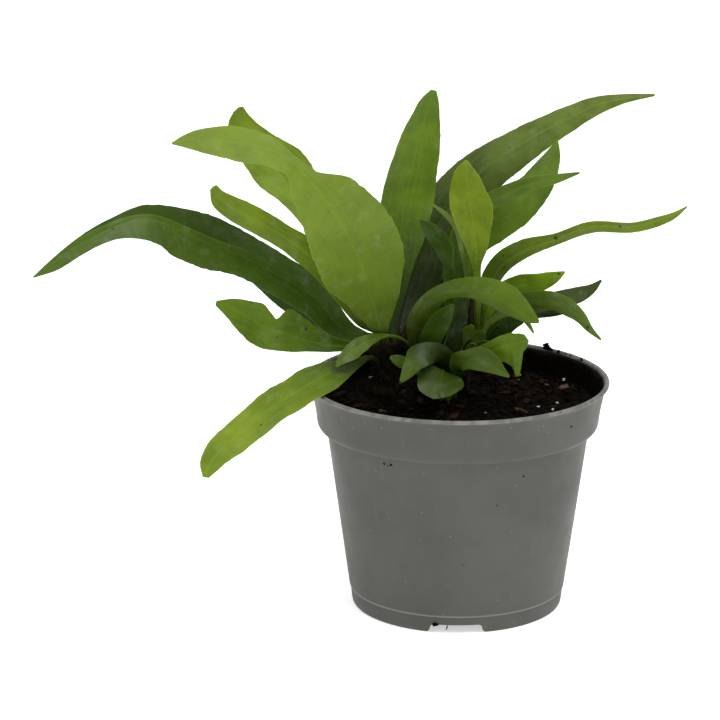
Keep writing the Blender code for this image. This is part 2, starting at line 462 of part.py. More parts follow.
def build_pot(parts, cutters):
    """The nursery pot: one thin shell with foot notches and drain holes."""
    outside, underside, inside = pot_profile()
    material = make_material("grey_plastic", (0.135, 0.137, 0.128), 0.45)
    pot = turned_object("pot", outside + underside + inside + outside[:1], POT_STEPS, parts, material)
    apply_modifiers(pot)
    openings = bpy.data.collections.new("pot_cutters")
    cutters.children.link(openings)
    for index in range(NOTCH_COUNT):
        heading = -math.pi / 2 + index * math.tau / NOTCH_COUNT
        mesh = box_mesh("notch", (FOOT_RADIUS, 0.0, 0.0), (9.0, NOTCH_WIDTH, 2 * NOTCH_HEIGHT), heading)
        add_cutter(f"notch_{index}", mesh, openings)
    for index in range(DRAIN_COUNT):
        angle = (index + 0.5) * math.tau / DRAIN_COUNT
        place = (DRAIN_CIRCLE * math.cos(angle), DRAIN_CIRCLE * math.sin(angle))
        mesh = cylinder_mesh("drain", (*place, 1.0), (*place, FLOOR_TOP + 1.0), DRAIN_RADIUS, 8)
        add_cutter(f"drain_{index}", mesh, openings)
    cut(pot, openings)
    apply_modifiers(pot)
    pot.data.shade_smooth()
    pot.data.set_sharp_from_angle(angle=math.radians(35))


def soil_height(x, y):
    """Height of the crumbly soil at a place, in millimetres."""
    coarse = noise.noise(Vector((x, y, 3.0)) / 11.0)
    fine = noise.noise(Vector((x, y, 9.0)) / 5.5)
    return SOIL_LEVEL + SOIL_BUMP * (coarse + 0.6 * fine)


def soil_rings():
    """Rings of the soil body from the middle of its top down its side to its flat base."""
    wall_top = POT_HEIGHT - COLLAR_DEPTH
    edge = RIM_RADIUS - 4.3 - CLEARANCE
    rings = [(edge * ring / SOIL_RINGS, None) for ring in range(1, SOIL_RINGS + 1)]
    rings += [
        (RIM_RADIUS - 5.0 - 2 * CLEARANCE, wall_top + 3.6),
        (WALL_TOP_RADIUS - WALL_THICKNESS - CLEARANCE, wall_top + 0.8),
        (WALL_TOP_RADIUS - WALL_THICKNESS - 2 * CLEARANCE, wall_top - 2.0),
        (FOOT_RADIUS - 0.2 - 2 * CLEARANCE, 6.4), (FOOT_RADIUS - 2.0, FLOOR_TOP + CLEARANCE),
    ]
    return rings


def build_soil(parts, cutters):
    """The soil: one body that fills the pot, with chips fused to it and a hole for each stem."""
    bm = bmesh.new()
    middle = bm.verts.new((0.0, 0.0, soil_height(0.0, 0.0) * MM))
    previous = None
    for radius, level in soil_rings():
        ring = []
        for step in range(SOIL_STEPS):
            angle = math.tau * step / SOIL_STEPS
            x, y = radius * math.cos(angle), radius * math.sin(angle)
            z = soil_height(x, y) if level is None else level
            ring.append(bm.verts.new((x * MM, y * MM, z * MM)))
        for step in range(SOIL_STEPS):
            after = (step + 1) % SOIL_STEPS
            if previous is None:
                bm.faces.new((middle, ring[step], ring[after]))
            else:
                bm.faces.new((previous[step], ring[step], ring[after], previous[after]))
        previous = ring
    bm.faces.new(previous)
    bmesh.ops.triangulate(bm, faces=bm.faces)
    material = make_material("dark_soil", (0.022, 0.014, 0.010), 0.95)
    soil = add_object("soil", mesh_from_bmesh("soil", bm), parts, material)
    add_chips(soil, cutters)
    holes = bpy.data.collections.new("soil_holes")
    cutters.children.link(holes)
    for name, frond in FRONDS.items():
        root, rise = frond.rise
        if root[2] <= ROOT_DEPTH:
            foot, mouth = (*root[:2], ROOT_DEPTH - CLEARANCE), (*rise[:2], SOIL_LEVEL + HOLE_REACH)
            mesh = cylinder_mesh(name, foot, mouth, HOLE_RADIUS, 7)
            add_cutter(f"hole_{name}", mesh, holes)
    wide_holes = (
        ("rhizome", RHIZOME_PLACE, RHIZOME_FOOT_RADIUS + 2 * CLEARANCE),
        ("juvenile", JUVENILE_PLACE, JUVENILE_BASE_RADIUS + CLEARANCE),
    )
    for label, place, radius in wide_holes:
        foot, mouth = (*place, ROOT_DEPTH - CLEARANCE), (*place, SOIL_LEVEL + HOLE_REACH)
        mesh = cylinder_mesh(label, foot, mouth, radius, 12)
        add_cutter(f"hole_{label}", mesh, holes)
    cut(soil, holes)
    apply_modifiers(soil)


def add_chips(soil, cutters):
    """Fuse bark chips and perlite to the soil's surface."""
    chips = bpy.data.collections.new("soil_chips")
    cutters.children.link(chips)
    for index, (x, y, length, width, height, heading) in enumerate(CHIPS):
        bm = bmesh.new()
        bmesh.ops.create_icosphere(bm, subdivisions=1, radius=1.0)
        for vert in bm.verts:
            vert.co *= 1.0 + 0.25 * noise.noise(vert.co * 2.0 + Vector((index, 0.0, 0.0)))
        bmesh.ops.scale(bm, vec=Vector((length / 2, width / 2, height)) * MM, verts=bm.verts)
        spin = Vector((1.0, 0.0, 0.0)).rotation_difference(
            Vector((math.cos(math.radians(heading)), math.sin(math.radians(heading)), 0.0))).to_matrix()
        bmesh.ops.rotate(bm, matrix=spin, verts=bm.verts)
        bmesh.ops.translate(bm, vec=Vector((x, y, soil_height(x, y) + 0.1)) * MM, verts=bm.verts)
        add_cutter(f"chip_{index}", mesh_from_bmesh("chip", bm), chips)
    union = soil.modifiers.new("chips", "BOOLEAN")
    union.operation = "UNION"
    union.operand_type = "COLLECTION"
    union.collection = chips
    union.solver = "EXACT"
    apply_modifiers(soil)


def roughen_rhizome(rhizome):
    """Give the turned rhizome a knobbly side and bring it to its place."""
    for vert in rhizome.data.vertices:
        radius = math.hypot(vert.co.x, vert.co.y)
        if radius > 1.0 * MM and vert.co.z < (RHIZOME_TOP - 0.5) * MM:
            bump = 1.0 + RHIZOME_BUMP * noise.noise(vert.co / (3.0 * MM) + Vector((1.0, 0.0, 0.0)))
            vert.co.x *= bump
            vert.co.y *= bump
        vert.co.x += RHIZOME_PLACE[0] * MM
        vert.co.y += RHIZOME_PLACE[1] * MM


def build_rhizome(parts, cutters):
    """The rhizome with a socket for each stem that rises from it."""
    material = make_material("rhizome_bark", (0.060, 0.032, 0.018), 0.85)
    profile = [
        (0.0, RHIZOME_TOP), (6.7, RHIZOME_TOP), (7.0, RHIZOME_TOP - 1.5), (6.0, RHIZOME_TOP - 5.0),
        (4.4, RHIZOME_TOP - 8.5), (3.9, RHIZOME_TOP - 13.0),
        (4.2, 87.0), (RHIZOME_FOOT_RADIUS, 83.0), (RHIZOME_FOOT_RADIUS, ROOT_DEPTH), (0.0, ROOT_DEPTH),
    ]
    rhizome = turned_object("rhizome", profile, RHIZOME_STEPS, parts, material)
    apply_modifiers(rhizome)
    roughen_rhizome(rhizome)
    sockets = bpy.data.collections.new("rhizome_sockets")
    cutters.children.link(sockets)
    for name, frond in FRONDS.items():
        root, rise = Vector(frond.rise[0]), Vector(frond.rise[1])
        if root.z > ROOT_DEPTH:
            along = (rise - root).normalized()
            mesh = cylinder_mesh(name, root - along * CLEARANCE, rise + along * 5.0, HOLE_RADIUS, 8)
            add_cutter(f"socket_{name}", mesh, sockets)
    cut(rhizome, sockets)
    apply_modifiers(rhizome)


def hermite(knots, values, at):
    """A smooth curve through values at knots, read at a place between them."""
    last = len(knots) - 1
    span = next((i for i in range(last) if at <= knots[i + 1]), last - 1)

    def slope(i):
        if i == 0:
            return (values[1] - values[0]) / (knots[1] - knots[0])
        if i == last:
            return (values[last] - values[last - 1]) / (knots[last] - knots[last - 1])
        before, after = knots[i] - knots[i - 1], knots[i + 1] - knots[i]
        back = (values[i] - values[i - 1]) / before
        ahead = (values[i + 1] - values[i]) / after
        return (back * after + ahead * before) / (before + after)

    width = knots[span + 1] - knots[span]
    t = (at - knots[span]) / width
    return (values[span] * (2 * t ** 3 - 3 * t ** 2 + 1) + slope(span) * width * (t ** 3 - 2 * t ** 2 + t)
            + values[span + 1] * (3 * t ** 2 - 2 * t ** 3) + slope(span + 1) * width * (t ** 3 - t ** 2))


def frond_lines(frond):
    """The midrib and both edges of a frond at its stations, and how far along each station lies."""
    stem = [(*point, STEM_HALF_WIDTH, STEM_HALF_WIDTH, 0.0) for point in frond.rise]
    stations = stem + list(frond.stations)
    middle = [Vector(station[:3]) for station in stations]
    knots = [0.0]
    for first, second in zip(middle, middle[1:]):
        knots.append(knots[-1] + (second - first).length)
    left, right = [], []
    flat = None
    for index, (*_, left_width, right_width, turn) in enumerate(stations):
        before, after = middle[max(index - 1, 0)], middle[min(index + 1, len(middle) - 1)]
        if index < 2:
            before, after = middle[0], middle[1]
        along = (after - before).normalized()
        previous, flat = flat, along.cross(VIEW).normalized()
        if previous is not None and flat.dot(previous) < -0.5:
            flat.negate()
        deep = along.cross(flat)
        angle = math.radians(turn)
        side = flat * math.cos(angle) + deep * math.sin(angle)
        lift = along.cross(side) * frond.cup
        left.append(middle[index] + (side + lift) * left_width)
        right.append(middle[index] + (lift - side) * right_width)
    return knots, middle, left, right


def frond_rows(frond, spacing):
    """Places along a frond where its blade gets a row of points, with one at each station."""
    knots = frond_lines(frond)[0]
    rows = [knots[0]]
    for first, second in zip(knots, knots[1:]):
        pieces = max(1, math.ceil((second - first) / spacing))
        rows += [first + (second - first) * (piece + 1) / pieces for piece in range(pieces)]
    return rows


def blade_section(frond, lines, at, shares):
    """Top and bottom points of a frond across its width at one place along it."""
    knots, middle, left, right = lines
    center, left_edge, right_edge = (hermite(knots, line, at) for line in (middle, left, right))
    step = 0.5
    low, high = max(at - step, knots[0]), min(at + step, knots[-1])
    along = (hermite(knots, middle, high) - hermite(knots, middle, low)).normalized()
    across = (left_edge - right_edge).normalized()
    normal = along.cross(across).normalized()
    width = (left_edge - right_edge).length / 2
    share_along = at / knots[-1]
    leafy = min(max((width - STEM_HALF_WIDTH) / 2.0, 0.0), 1.0)
    leafy = 1.0 if share_along > 0.6 else leafy
    thickness = STEM_THICKNESS + (BLADE_THICKNESS - STEM_THICKNESS) * leafy
    ripple = frond.ripple * min(width / 8.0, 1.0) * leafy
    top, bottom = [], []
    for share in shares:
        edge = left_edge if share > 0 else right_edge
        reach = abs(share)
        droop = normal * ((edge - center).dot(normal) * (reach - reach ** 2))
        point = center + (edge - center) * reach - droop
        phase = math.tau * at / RIPPLE_LENGTH + (0.0 if share > 0 else RIPPLE_OFFSET)
        point = point + normal * (ripple * math.sin(phase) * reach ** 2)
        half = (EDGE_THICKNESS + (thickness - EDGE_THICKNESS) * math.sqrt(1.0 - reach ** 2)) / 2
        rib = RIB_HEIGHT * leafy * min(width / 4.0, 1.0) if share == 0 else 0.0
        top.append(point + normal * (half + (rib if frond.face < 0 else 0.0)))
        bottom.append(point - normal * (half + (rib if frond.face > 0 else 0.0)))
    return top, bottom


def blade_mesh(name, frond, spacing):
    """A closed loft along a frond, from its oval stem to its thin blade, alike on both faces."""
    lines = frond_lines(frond)
    widest = max(station[3] + station[4] for station in frond.stations)
    shares = (1.0, 0.5, 0.0, -0.5, -1.0) if widest > WIDE_BLADE else (1.0, 0.0, -1.0)
    bm = bmesh.new()
    rows = []
    for at in frond_rows(frond, spacing):
        top, bottom = blade_section(frond, lines, at, shares)
        rows.append([[bm.verts.new(point * MM) for point in side] for side in (top, bottom)])
    last = len(shares) - 1
    for (top, bottom), (next_top, next_bottom) in zip(rows, rows[1:]):
        for i in range(last):
            bm.faces.new((top[i], next_top[i], next_top[i + 1]))
            bm.faces.new((top[i], next_top[i + 1], top[i + 1]))
            bm.faces.new((bottom[i], next_bottom[i + 1], next_bottom[i]))
            bm.faces.new((bottom[i], bottom[i + 1], next_bottom[i + 1]))
        bm.faces.new((top[0], bottom[0], next_bottom[0], next_top[0]))
        bm.faces.new((top[last], next_top[last], next_bottom[last], bottom[last]))
    for top, bottom in (rows[0], rows[-1]):
        bm.faces.new(top + bottom[::-1])
    bmesh.ops.triangulate(bm, faces=[face for face in bm.faces if len(face.verts) > 3])
    return mesh_from_bmesh(name, bm)


def build_fronds(parts):
    """One object for each frond."""
    for name, frond in FRONDS.items():
        material = make_material(f"{name}_green", TONES[frond.tone], 0.42)
        obj = add_object(name, blade_mesh(name, frond, ROW_SPACING), parts, material)
        obj.data.shade_smooth()
        obj.data.set_sharp_from_angle(angle=math.radians(50))


def juvenile_frond(tip_x, tip_y, tip_z, half_width):
    """A tiny round leaf on a thin stalk that grows out of the tuft's base."""
    lean = Vector((tip_x - JUVENILE_MIDDLE[0], tip_y - JUVENILE_MIDDLE[1], 0.0)) * JUVENILE_SPREAD
    foot = Vector((*JUVENILE_PLACE, SOIL_LEVEL + 1.0)) + lean
    rise = foot + Vector((0.0, 0.0, 3.0))
    reach = Vector((tip_x, tip_y, tip_z)) - rise
    stations = []
    for share, width in JUVENILE_OUTLINE:
        bow = Vector((reach.x * share ** 1.4, reach.y * share ** 1.4, reach.z * share))
        stations.append((*(rise + bow), max(width * half_width, 0.6), max(width * half_width, 0.6), 0.0))
    return Frond([tuple(foot), tuple(rise)], "fresh", 1, 0.12, 0.0, stations)


def build_juveniles(parts, cutters):
    """A tuft of tiny leaves fused to one short base that stands in the soil."""
    foot, top = (*JUVENILE_PLACE, ROOT_DEPTH), (*JUVENILE_PLACE, SOIL_LEVEL + 4.0)
    mesh = cylinder_mesh("juvenile_tuft", foot, top, JUVENILE_BASE_RADIUS, 8)
    tuft = add_object("juvenile_tuft", mesh, parts, make_material("juvenile_green", TONES["fresh"], 0.45))
    leaves = bpy.data.collections.new("juvenile_leaves")
    cutters.children.link(leaves)
    for index, values in enumerate(JUVENILES):
        leaf = blade_mesh(f"juvenile_{index}", juvenile_frond(*values), ROW_SPACING)
        add_cutter(f"juvenile_{index}", leaf, leaves)
    union = tuft.modifiers.new("leaves", "BOOLEAN")
    union.operation = "UNION"
    union.operand_type = "COLLECTION"
    union.collection = leaves
    union.solver = "EXACT"
    apply_modifiers(tuft)
    tuft.data.shade_smooth()


def main():
    for obj in list(bpy.data.objects):
        bpy.data.objects.remove(obj, do_unlink=True)
    parts = bpy.data.collections.new(OBJECT_NAME)
    cutters = bpy.data.collections.new("cutters")
    bpy.context.scene.collection.children.link(parts)
    bpy.context.scene.collection.children.link(cutters)
    build_pot(parts, cutters)
    build_soil(parts, cutters)
    build_rhizome(parts, cutters)
    build_fronds(parts)
    build_juveniles(parts, cutters)


main()
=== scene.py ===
import json
import math
import random
from collections import namedtuple

import bmesh
import bpy
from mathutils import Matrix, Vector, noise

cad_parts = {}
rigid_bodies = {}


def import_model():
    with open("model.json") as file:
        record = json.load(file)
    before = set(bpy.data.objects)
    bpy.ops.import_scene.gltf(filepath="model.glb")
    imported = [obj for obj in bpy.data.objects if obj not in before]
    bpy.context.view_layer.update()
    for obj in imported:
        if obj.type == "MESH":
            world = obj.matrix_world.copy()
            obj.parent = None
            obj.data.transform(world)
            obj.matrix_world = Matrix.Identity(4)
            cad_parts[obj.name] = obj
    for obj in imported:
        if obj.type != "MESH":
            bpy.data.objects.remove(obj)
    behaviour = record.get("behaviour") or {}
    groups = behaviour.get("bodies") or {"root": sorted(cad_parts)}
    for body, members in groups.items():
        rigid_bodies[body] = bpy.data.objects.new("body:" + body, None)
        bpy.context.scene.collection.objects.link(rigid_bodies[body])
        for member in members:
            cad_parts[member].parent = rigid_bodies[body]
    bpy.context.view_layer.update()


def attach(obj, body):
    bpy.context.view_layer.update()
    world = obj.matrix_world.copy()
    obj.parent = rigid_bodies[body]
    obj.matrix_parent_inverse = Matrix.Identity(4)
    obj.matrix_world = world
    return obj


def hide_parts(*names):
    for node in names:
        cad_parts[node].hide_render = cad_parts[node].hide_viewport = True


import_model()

MM = 0.001

# Sizes of the pot and the soil, in millimetres
RIM_RADIUS = 60.0
POT_HEIGHT = 92.5
COLLAR_DEPTH = 18.8
WALL_TOP_RADIUS = 52.5
FOOT_RADIUS = 42.2
WALL_THICKNESS = 1.3
FLOOR_UNDERSIDE = 3.9
FLOOR_TOP = 5.2
PAD_RADIUS = 8.0
POT_STEPS = 240
NOTCH_COUNT = 3
NOTCH_WIDTH = 21.0
NOTCH_HEIGHT = 3.6
BAND_HEIGHT = 7.0
DRAIN_COUNT = 6
DRAIN_RADIUS = 3.2
DRAIN_CIRCLE = 26.0
SOIL_LEVEL = 82.5
SOIL_BUMP = 1.2
SOIL_SINK = 0.6
BUMP_SIZE = 11.0
LUMP_SIZE = 2.6
LUMP_HEIGHT = 1.1
GRIT_SIZE = 0.9
GRIT_HEIGHT = 0.3
SOIL_RINGS = 100
SOIL_STEPS = 320
RHIZOME_PLACE = (-30.0, 13.6)
RHIZOME_TOP = 104.0
ROOT_DEPTH = 76.0
SOCKET_DEPTH = 4.5
JUVENILE_PLACE = (-2.0, 8.4)
JUVENILE_MIDDLE = (8.5, -4.5)
JUVENILE_SPREAD = 0.12

# Blades and stems, in millimetres: thickness, midrib, ripples, pucker and frayed edges
STEM_THICKNESS = 2.0
STEM_HALF_WIDTH = 1.1
BLADE_THICKNESS = 0.5
EDGE_THICKNESS = 0.22
STEM_EDGE = 0.6
LEAFY_FROM = 0.6
RIB_HEIGHT = 0.35
RIB_WIDTH = 0.45
RIPPLE_OFFSET = 2.1
PUCKER = 0.24
PUCKER_WIDTH = 3.0
PUCKER_LENGTH = 3.5
FRAY = 0.035
FRAY_LENGTH = 2.2
WIDE_BLADE = 8.0
GROOVE_SHARE = 0.4
RIPPLE_LENGTH = 15.0
ROW_SPACING = 1.3
COLUMNS = 16

# Camera of the photograph: place in metres, angles in degrees, lens in mm, and the view's direction
CAMERA_PLACE = (0.0, -1.33, 0.475)
CAMERA_PITCH = 15.75
CAMERA_YAW = 1.682
CAMERA_LENS = 173.75
VIEW = Vector((-0.028, 0.962, -0.271))

# A frond: its root and rise, its tone, the side of the blade that faces the front, cup, ripple,
# and its stations: a point on the midrib, the half width on its left and right, and the turn.
Frond = namedtuple("Frond", "rise tone face cup ripple stations")


def in_soil(x, y):
    """Root and rise of a stem that stands upright in the soil."""
    return [(x, y, ROOT_DEPTH), (x, y, SOIL_LEVEL + 1.5)]


def in_rhizome(x, y):
    """Root and rise of a stem that stands upright in the top of the rhizome."""
    return [(x, y, RHIZOME_TOP - SOCKET_DEPTH), (x, y, RHIZOME_TOP + 0.5)]


FRONDS = {
    "frond_long_left": Frond(
        in_rhizome(-34.6, 13.2), "deep", 1, 0.18, 0.5, [
            (-44.5, 14, 107.5, 4.2, 3.9, 10), (-58, 12, 122.5, 8, 7.1, 10), (-73, 8, 133, 8.3, 8, 10),
            (-86.5, 3, 141.5, 8.5, 9, 10), (-99, -3, 148, 10.7, 10.5, 12),
            (-110, -10, 155, 11.3, 8.5, 15), (-121.5, -17, 161, 10.6, 5.4, 20),
            (-134.5, -25, 159, 5.1, 3.6, 10), (-141.5, -30, 156.5, 4.1, 3.1, 0),
            (-148, -33, 153.5, 4.2, 2.1, 0), (-156.5, -37, 148, 3.5, 1.2, 0),
            (-163.5, -40, 143, 0.3, 0.3, 0),
        ]),
    "frond_under_left": Frond(
        in_rhizome(-33.2, 17.2), "dark", 1, 0.1, 0.4, [
            (-45.5, 20, 104, 2.4, 2, 0), (-55, 25, 108.5, 3.6, 3.7, -8), (-64, 29, 114, 5.3, 5.1, -14),
            (-73.5, 33, 119, 4.5, 5.3, -18), (-80, 35, 123.5, 3.7, 4.9, -18),
            (-85.5, 37, 126.5, 2, 3, -15), (-88, 38, 128.5, 0.4, 0.4, -10),
        ]),
    "frond_forked_left": Frond(
        in_rhizome(-32.6, 9.8), "fresh", 1, 0.1, 0.5, [
            (-44, 8, 103.5, 2, 2, 0), (-51, 3, 105, 2.9, 3.6, 10), (-59, -1, 107.5, 4.2, 7.2, 15),
            (-65, -5, 110.5, 6.3, 9.2, 15), (-68, -7, 112, 7.1, 10.2, 15), (-70, -8, 113, 7.6, 9.2, 15),
            (-72.5, -9, 114, 8.2, 5, 15), (-76, -11, 116, 8.8, 6.2, 15),
            (-79.5, -13, 118.5, 8.6, 7.7, 15), (-84, -16, 122, 7.1, 6.3, 15),
            (-89, -19, 125.5, 4.4, 4.3, 15), (-94.5, -22, 128.5, 1, 1, 15),
        ]),
    "frond_low_left": Frond(
        [(-31, 11.2, 94.5), (-34.5, 7.5, 98.5)], "lime", 1, 0.1, 0.5, [
            (-38.5, 3, 98.5, 1.6, 2, 10), (-45, -6, 98.5, 4.6, 4, 34), (-55, -20, 97.5, 10, 8, 44),
            (-63.5, -26, 93.5, 9.5, 8, 42), (-73.5, -30, 88, 9.2, 8, 40), (-81, -34, 82.5, 8.4, 6.9, 35),
            (-87, -37, 78, 8.2, 6.9, 35), (-93, -40, 73, 6.9, 6.2, 35), (-96.5, -43, 68, 4.6, 4.4, 35),
            (-97.5, -45, 64.5, 1.3, 1.6, 35),
        ]),
    "frond_small_front": Frond(
        in_soil(-14.8, 19.8), "lime", 1, 0.15, 0.2, [
            (-16, 16, 96.5, 0.6, 0.6, 0), (-19, 11, 102.5, 0.6, 0.6, 0), (-23.5, 7, 107, 0.7, 0.7, 0),
            (-29, 3, 109, 0.8, 0.8, 0), (-33.5, -1, 109, 1.8, 1.8, 0), (-39, -6, 107.5, 3.3, 3.1, 10),
            (-43.5, -11, 105, 3.3, 2.7, 10), (-46.5, -14, 103, 1.6, 1.6, 0),
            (-48, -15, 101, 0.4, 0.4, 0),
        ]),
    "frond_broad_front": Frond(
        in_rhizome(-28.6, 9.2), "pale", -1, -0.1, 0.5, [
            (-31, 4, 111, 2.8, 3.6, 0), (-32.5, 0, 118, 5.9, 8, 4), (-34.5, -6, 127, 9.8, 13.3, 8),
            (-36.5, -13, 137.5, 15.2, 17.8, 10), (-41.5, -23, 152.5, 15.9, 19, 12),
            (-46.5, -30, 164, 14.6, 16.5, 12), (-52, -35, 174, 11.9, 12, 12),
            (-57.5, -37, 181, 9.6, 5.3, 25), (-63.5, -38, 188, 8.1, 6.2, 55),
            (-71.5, -39, 193, 8.5, 9.4, 50), (-79.5, -41, 195.5, 9, 10.4, 45),
            (-89, -43, 197.5, 8.2, 8.6, 40), (-98, -46, 198.5, 5.4, 5.5, 35),
            (-103.5, -48, 198.5, 3.1, 3, 30), (-108.5, -50, 198, 0.3, 0.4, 30),
        ]),
    "frond_curl_high_left": Frond(
        in_rhizome(-29.4, 18), "fresh", 1, 0.18, 0.5, [
            (-37.5, 21, 109.5, 2.4, 2.4, 0), (-44, 25, 119.5, 2.8, 3.6, 0), (-51, 28, 133, 3.3, 5.6, 6),
            (-58, 31, 146, 3.9, 7.9, 12), (-66, 34, 158, 6.3, 12, 18), (-74, 36, 169, 10.8, 12.5, 20),
            (-81, 36, 178, 9.7, 8, 18), (-86, 34, 185.5, 8.8, 5.4, 16), (-88, 31, 192, 6.1, 3.2, 20),
            (-88, 27, 196, 3.1, 1.7, 30),
        ]),
    "frond_narrow_left": Frond(
        in_rhizome(-30.4, 13.6), "fresh", 1, 0.18, 0.3, [
            (-39, 11, 112.5, 2, 2, 0), (-47, 9, 125, 3.7, 3.5, 5), (-54.5, 7, 136, 5, 4.9, 10),
            (-62, 5, 143.5, 5.6, 5.5, 15), (-69, 3, 149, 5.4, 4.9, 20), (-77.5, 0, 155, 5.6, 5.1, 20),
            (-85, -3, 160, 5.6, 4.9, 20), (-90.5, -5, 164, 5.3, 3.9, 18), (-94.5, -7, 168, 4.1, 2.7, 16),
            (-96, -9, 172, 2, 1.4, 20),
        ]),
    "frond_upright": Frond(
        in_rhizome(-25.8, 12.4), "fresh", 1, 0.18, 0.4, [
            (-26.5, 14, 110.5, 2, 2, 0), (-26, 17, 121, 3.7, 4, 4), (-25, 21, 133.5, 5.8, 6.7, 8),
            (-23.5, 25, 146, 8.7, 9.9, 14), (-22, 29, 158.5, 10.5, 11.6, 20),
            (-19, 32, 171, 10.3, 10.2, 24), (-16.5, 34, 182, 8.6, 8.9, 24),
            (-13.5, 35, 192.5, 6, 5.6, 22), (-11.5, 35, 198.5, 4.1, 3, 20), (-10.5, 35, 202, 1.4, 1, 20),
        ]),
    "frond_long_right": Frond(
        in_rhizome(-26.3, 16.2), "olive", -1, -0.18, 0.4, [
            (-24, 19, 107, 2, 3.6, 0), (-21.5, 25, 116, 3.3, 8, -4), (-18, 30, 127, 5, 10.3, -8),
            (-12, 36, 140, 8.3, 10, -14), (-2, 41, 154.5, 12.2, 10.9, -18),
            (10, 44, 167.5, 10.6, 9.5, -20), (21.5, 46, 175.5, 8.5, 8.3, -20),
            (32.5, 48, 182, 7.1, 6.7, -20), (44, 50, 187.5, 5.9, 5, -18),
            (54.5, 51, 192.5, 4.4, 3.6, -15), (66.5, 52, 195.5, 2.2, 1.7, -10),
            (78.5, 53, 197, 0.5, 0.5, -10),
        ]),
    "frond_broad_right": Frond(
        in_soil(-4.6, 27.2), "deep", 1, 0.15, 0.4, [
            (-2.5, 27, 91.5, 1, 1, 0), (0, 28, 105.5, 2.4, 2.4, 0), (2.5, 31, 121, 3.7, 2.8, 4),
            (5.5, 34, 134.5, 6.3, 3, 10), (11, 36, 146.5, 9.6, 9.1, 18), (23, 37, 155, 9.5, 8.5, 24),
            (31.5, 37, 164.5, 7, 6.9, 26), (34.5, 37, 170, 5.8, 5.6, 26), (37.5, 37, 175.5, 4, 3.1, 24),
            (39, 36, 181.5, 0.4, 0.4, 20),
        ]),
    "frond_pointed_right": Frond(
        in_soil(-8.2, 27.2), "fresh", 1, 0.15, 0.3, [
            (-6, 25.5, 92, 1, 1, 0), (-4, 23, 106, 1.6, 1.6, 0), (-3.5, 21, 121, 2.4, 2.4, 0),
            (-3, 22, 134.5, 3.3, 3.2, 5), (1, 23, 147.5, 3.8, 3.6, 10), (8.5, 23, 157, 3.9, 3.6, 16),
            (15.5, 23, 161, 4, 3.2, 20), (26, 22, 166, 3.5, 2.8, 20), (38, 20, 169.5, 2.1, 1.9, 15),
            (47.5, 18, 172.5, 0.4, 0.4, 15),
        ]),
    "frond_bright_upright": Frond(
        in_soil(-4.2, 20), "lime", 1, 0.2, 0.3, [
            (0.5, 16, 94.5, 1, 1, 0), (6.5, 13, 105.5, 1, 1, 0), (7.5, 10, 118, 1.2, 1.2, 0),
            (7.5, 8, 131, 1.3, 1.3, 0), (7, 7, 138, 2, 2, -6), (7, 6, 143.5, 3.7, 4, -12),
            (6, 4, 150.5, 5.6, 6.4, -18), (5, 1, 158.5, 7.5, 8.8, -22), (4, -2, 166, 7.9, 9.6, -24),
            (3, -6, 174, 6.1, 7.3, -24), (2.5, -9, 179.5, 3.9, 4.5, -20),
            (2.5, -11, 183.5, 0.6, 0.7, -20),
        ]),
    "frond_slim_upright": Frond(
        in_soil(-6.4, 23.6), "deep", 1, 0.15, 0.2, [
            (-3.5, 20.5, 93.5, 0.9, 0.9, 0), (0, 18, 107.5, 0.9, 0.9, 0), (1, 16.5, 120.5, 1.6, 1.6, 0),
            (1, 16, 132, 2.5, 2.4, 10), (0, 15.5, 141, 2.1, 1.8, 15), (-1.5, 15, 147.5, 1.3, 1.2, 15),
            (-2, 14.5, 151.5, 0.4, 0.4, 15),
        ]),
    "frond_dark_short": Frond(
        in_soil(-8.2, 20), "dark", 1, 0.2, 0.3, [
            (-6, 15.5, 95, 0.9, 0.9, 0), (-3.5, 12, 106.5, 0.9, 0.9, 0), (-2.5, 11.5, 118.5, 1, 1, 0),
            (-3.5, 11, 128.5, 1.1, 1.1, 0), (-4.5, 10, 137, 2.1, 2.1, -10), (-6, 9, 143, 3.3, 3.6, -18),
            (-9, 7, 149, 3.6, 3.9, -22), (-12.5, 6, 153, 2.6, 2.8, -22), (-15.5, 5, 156, 0.4, 0.4, -20),
        ]),
    "frond_sprig": Frond(
        in_soil(-2.6, 23.6), "olive", 1, 0.1, 0.1, [
            (-0.5, 20.5, 93.5, 0.6, 0.6, 0), (2, 18, 105, 0.6, 0.6, 0), (3.5, 14.5, 117, 0.6, 0.6, 0),
            (3.5, 11.5, 126, 0.7, 0.7, 0), (1, 9.5, 142.5, 0.9, 0.9, 0), (-1.5, 9, 152.5, 1.2, 1.2, 0),
            (-5.5, 8.5, 157.5, 1, 1, 0), (-10.5, 8, 161.5, 0.4, 0.4, 0),
        ]),
    "frond_arching_front": Frond(
        in_soil(-12.8, 16.2), "fresh", 1, -0.15, 0.4, [
            (-14.5, 11, 96, 1.2, 1.2, 0), (-17.5, 4, 106, 2.4, 3.2, 0), (-17, 1, 116, 3.2, 5.2, 0),
            (-13, -1, 123.5, 3.1, 5.4, 10), (-5.5, -4, 129, 3.5, 3.4, 15), (3, -7, 130.5, 5.1, 3, 15),
            (11.5, -10, 129.5, 6.6, 4.1, 10), (18.5, -12, 127, 6.8, 4.5, 10), (24, -14, 124, 5, 3.5, 10),
            (28.5, -15, 121.5, 2.7, 2.2, 0), (31.5, -15, 120, 0.6, 0.6, 0),
        ]),
    "frond_wavy_right": Frond(
        in_soil(-0.8, 27.2), "deep", 1, 0.22, 0.6, [
            (3, 24.5, 92.5, 1, 1, 0), (9.5, 21, 106, 1.2, 1.2, 0), (11.5, 20, 117.5, 2.2, 2, 0),
            (13, 18, 127, 4.6, 2.8, 0), (18, 15, 136, 5, 3.4, 0), (26, 11, 142.5, 4.4, 3.2, 0),
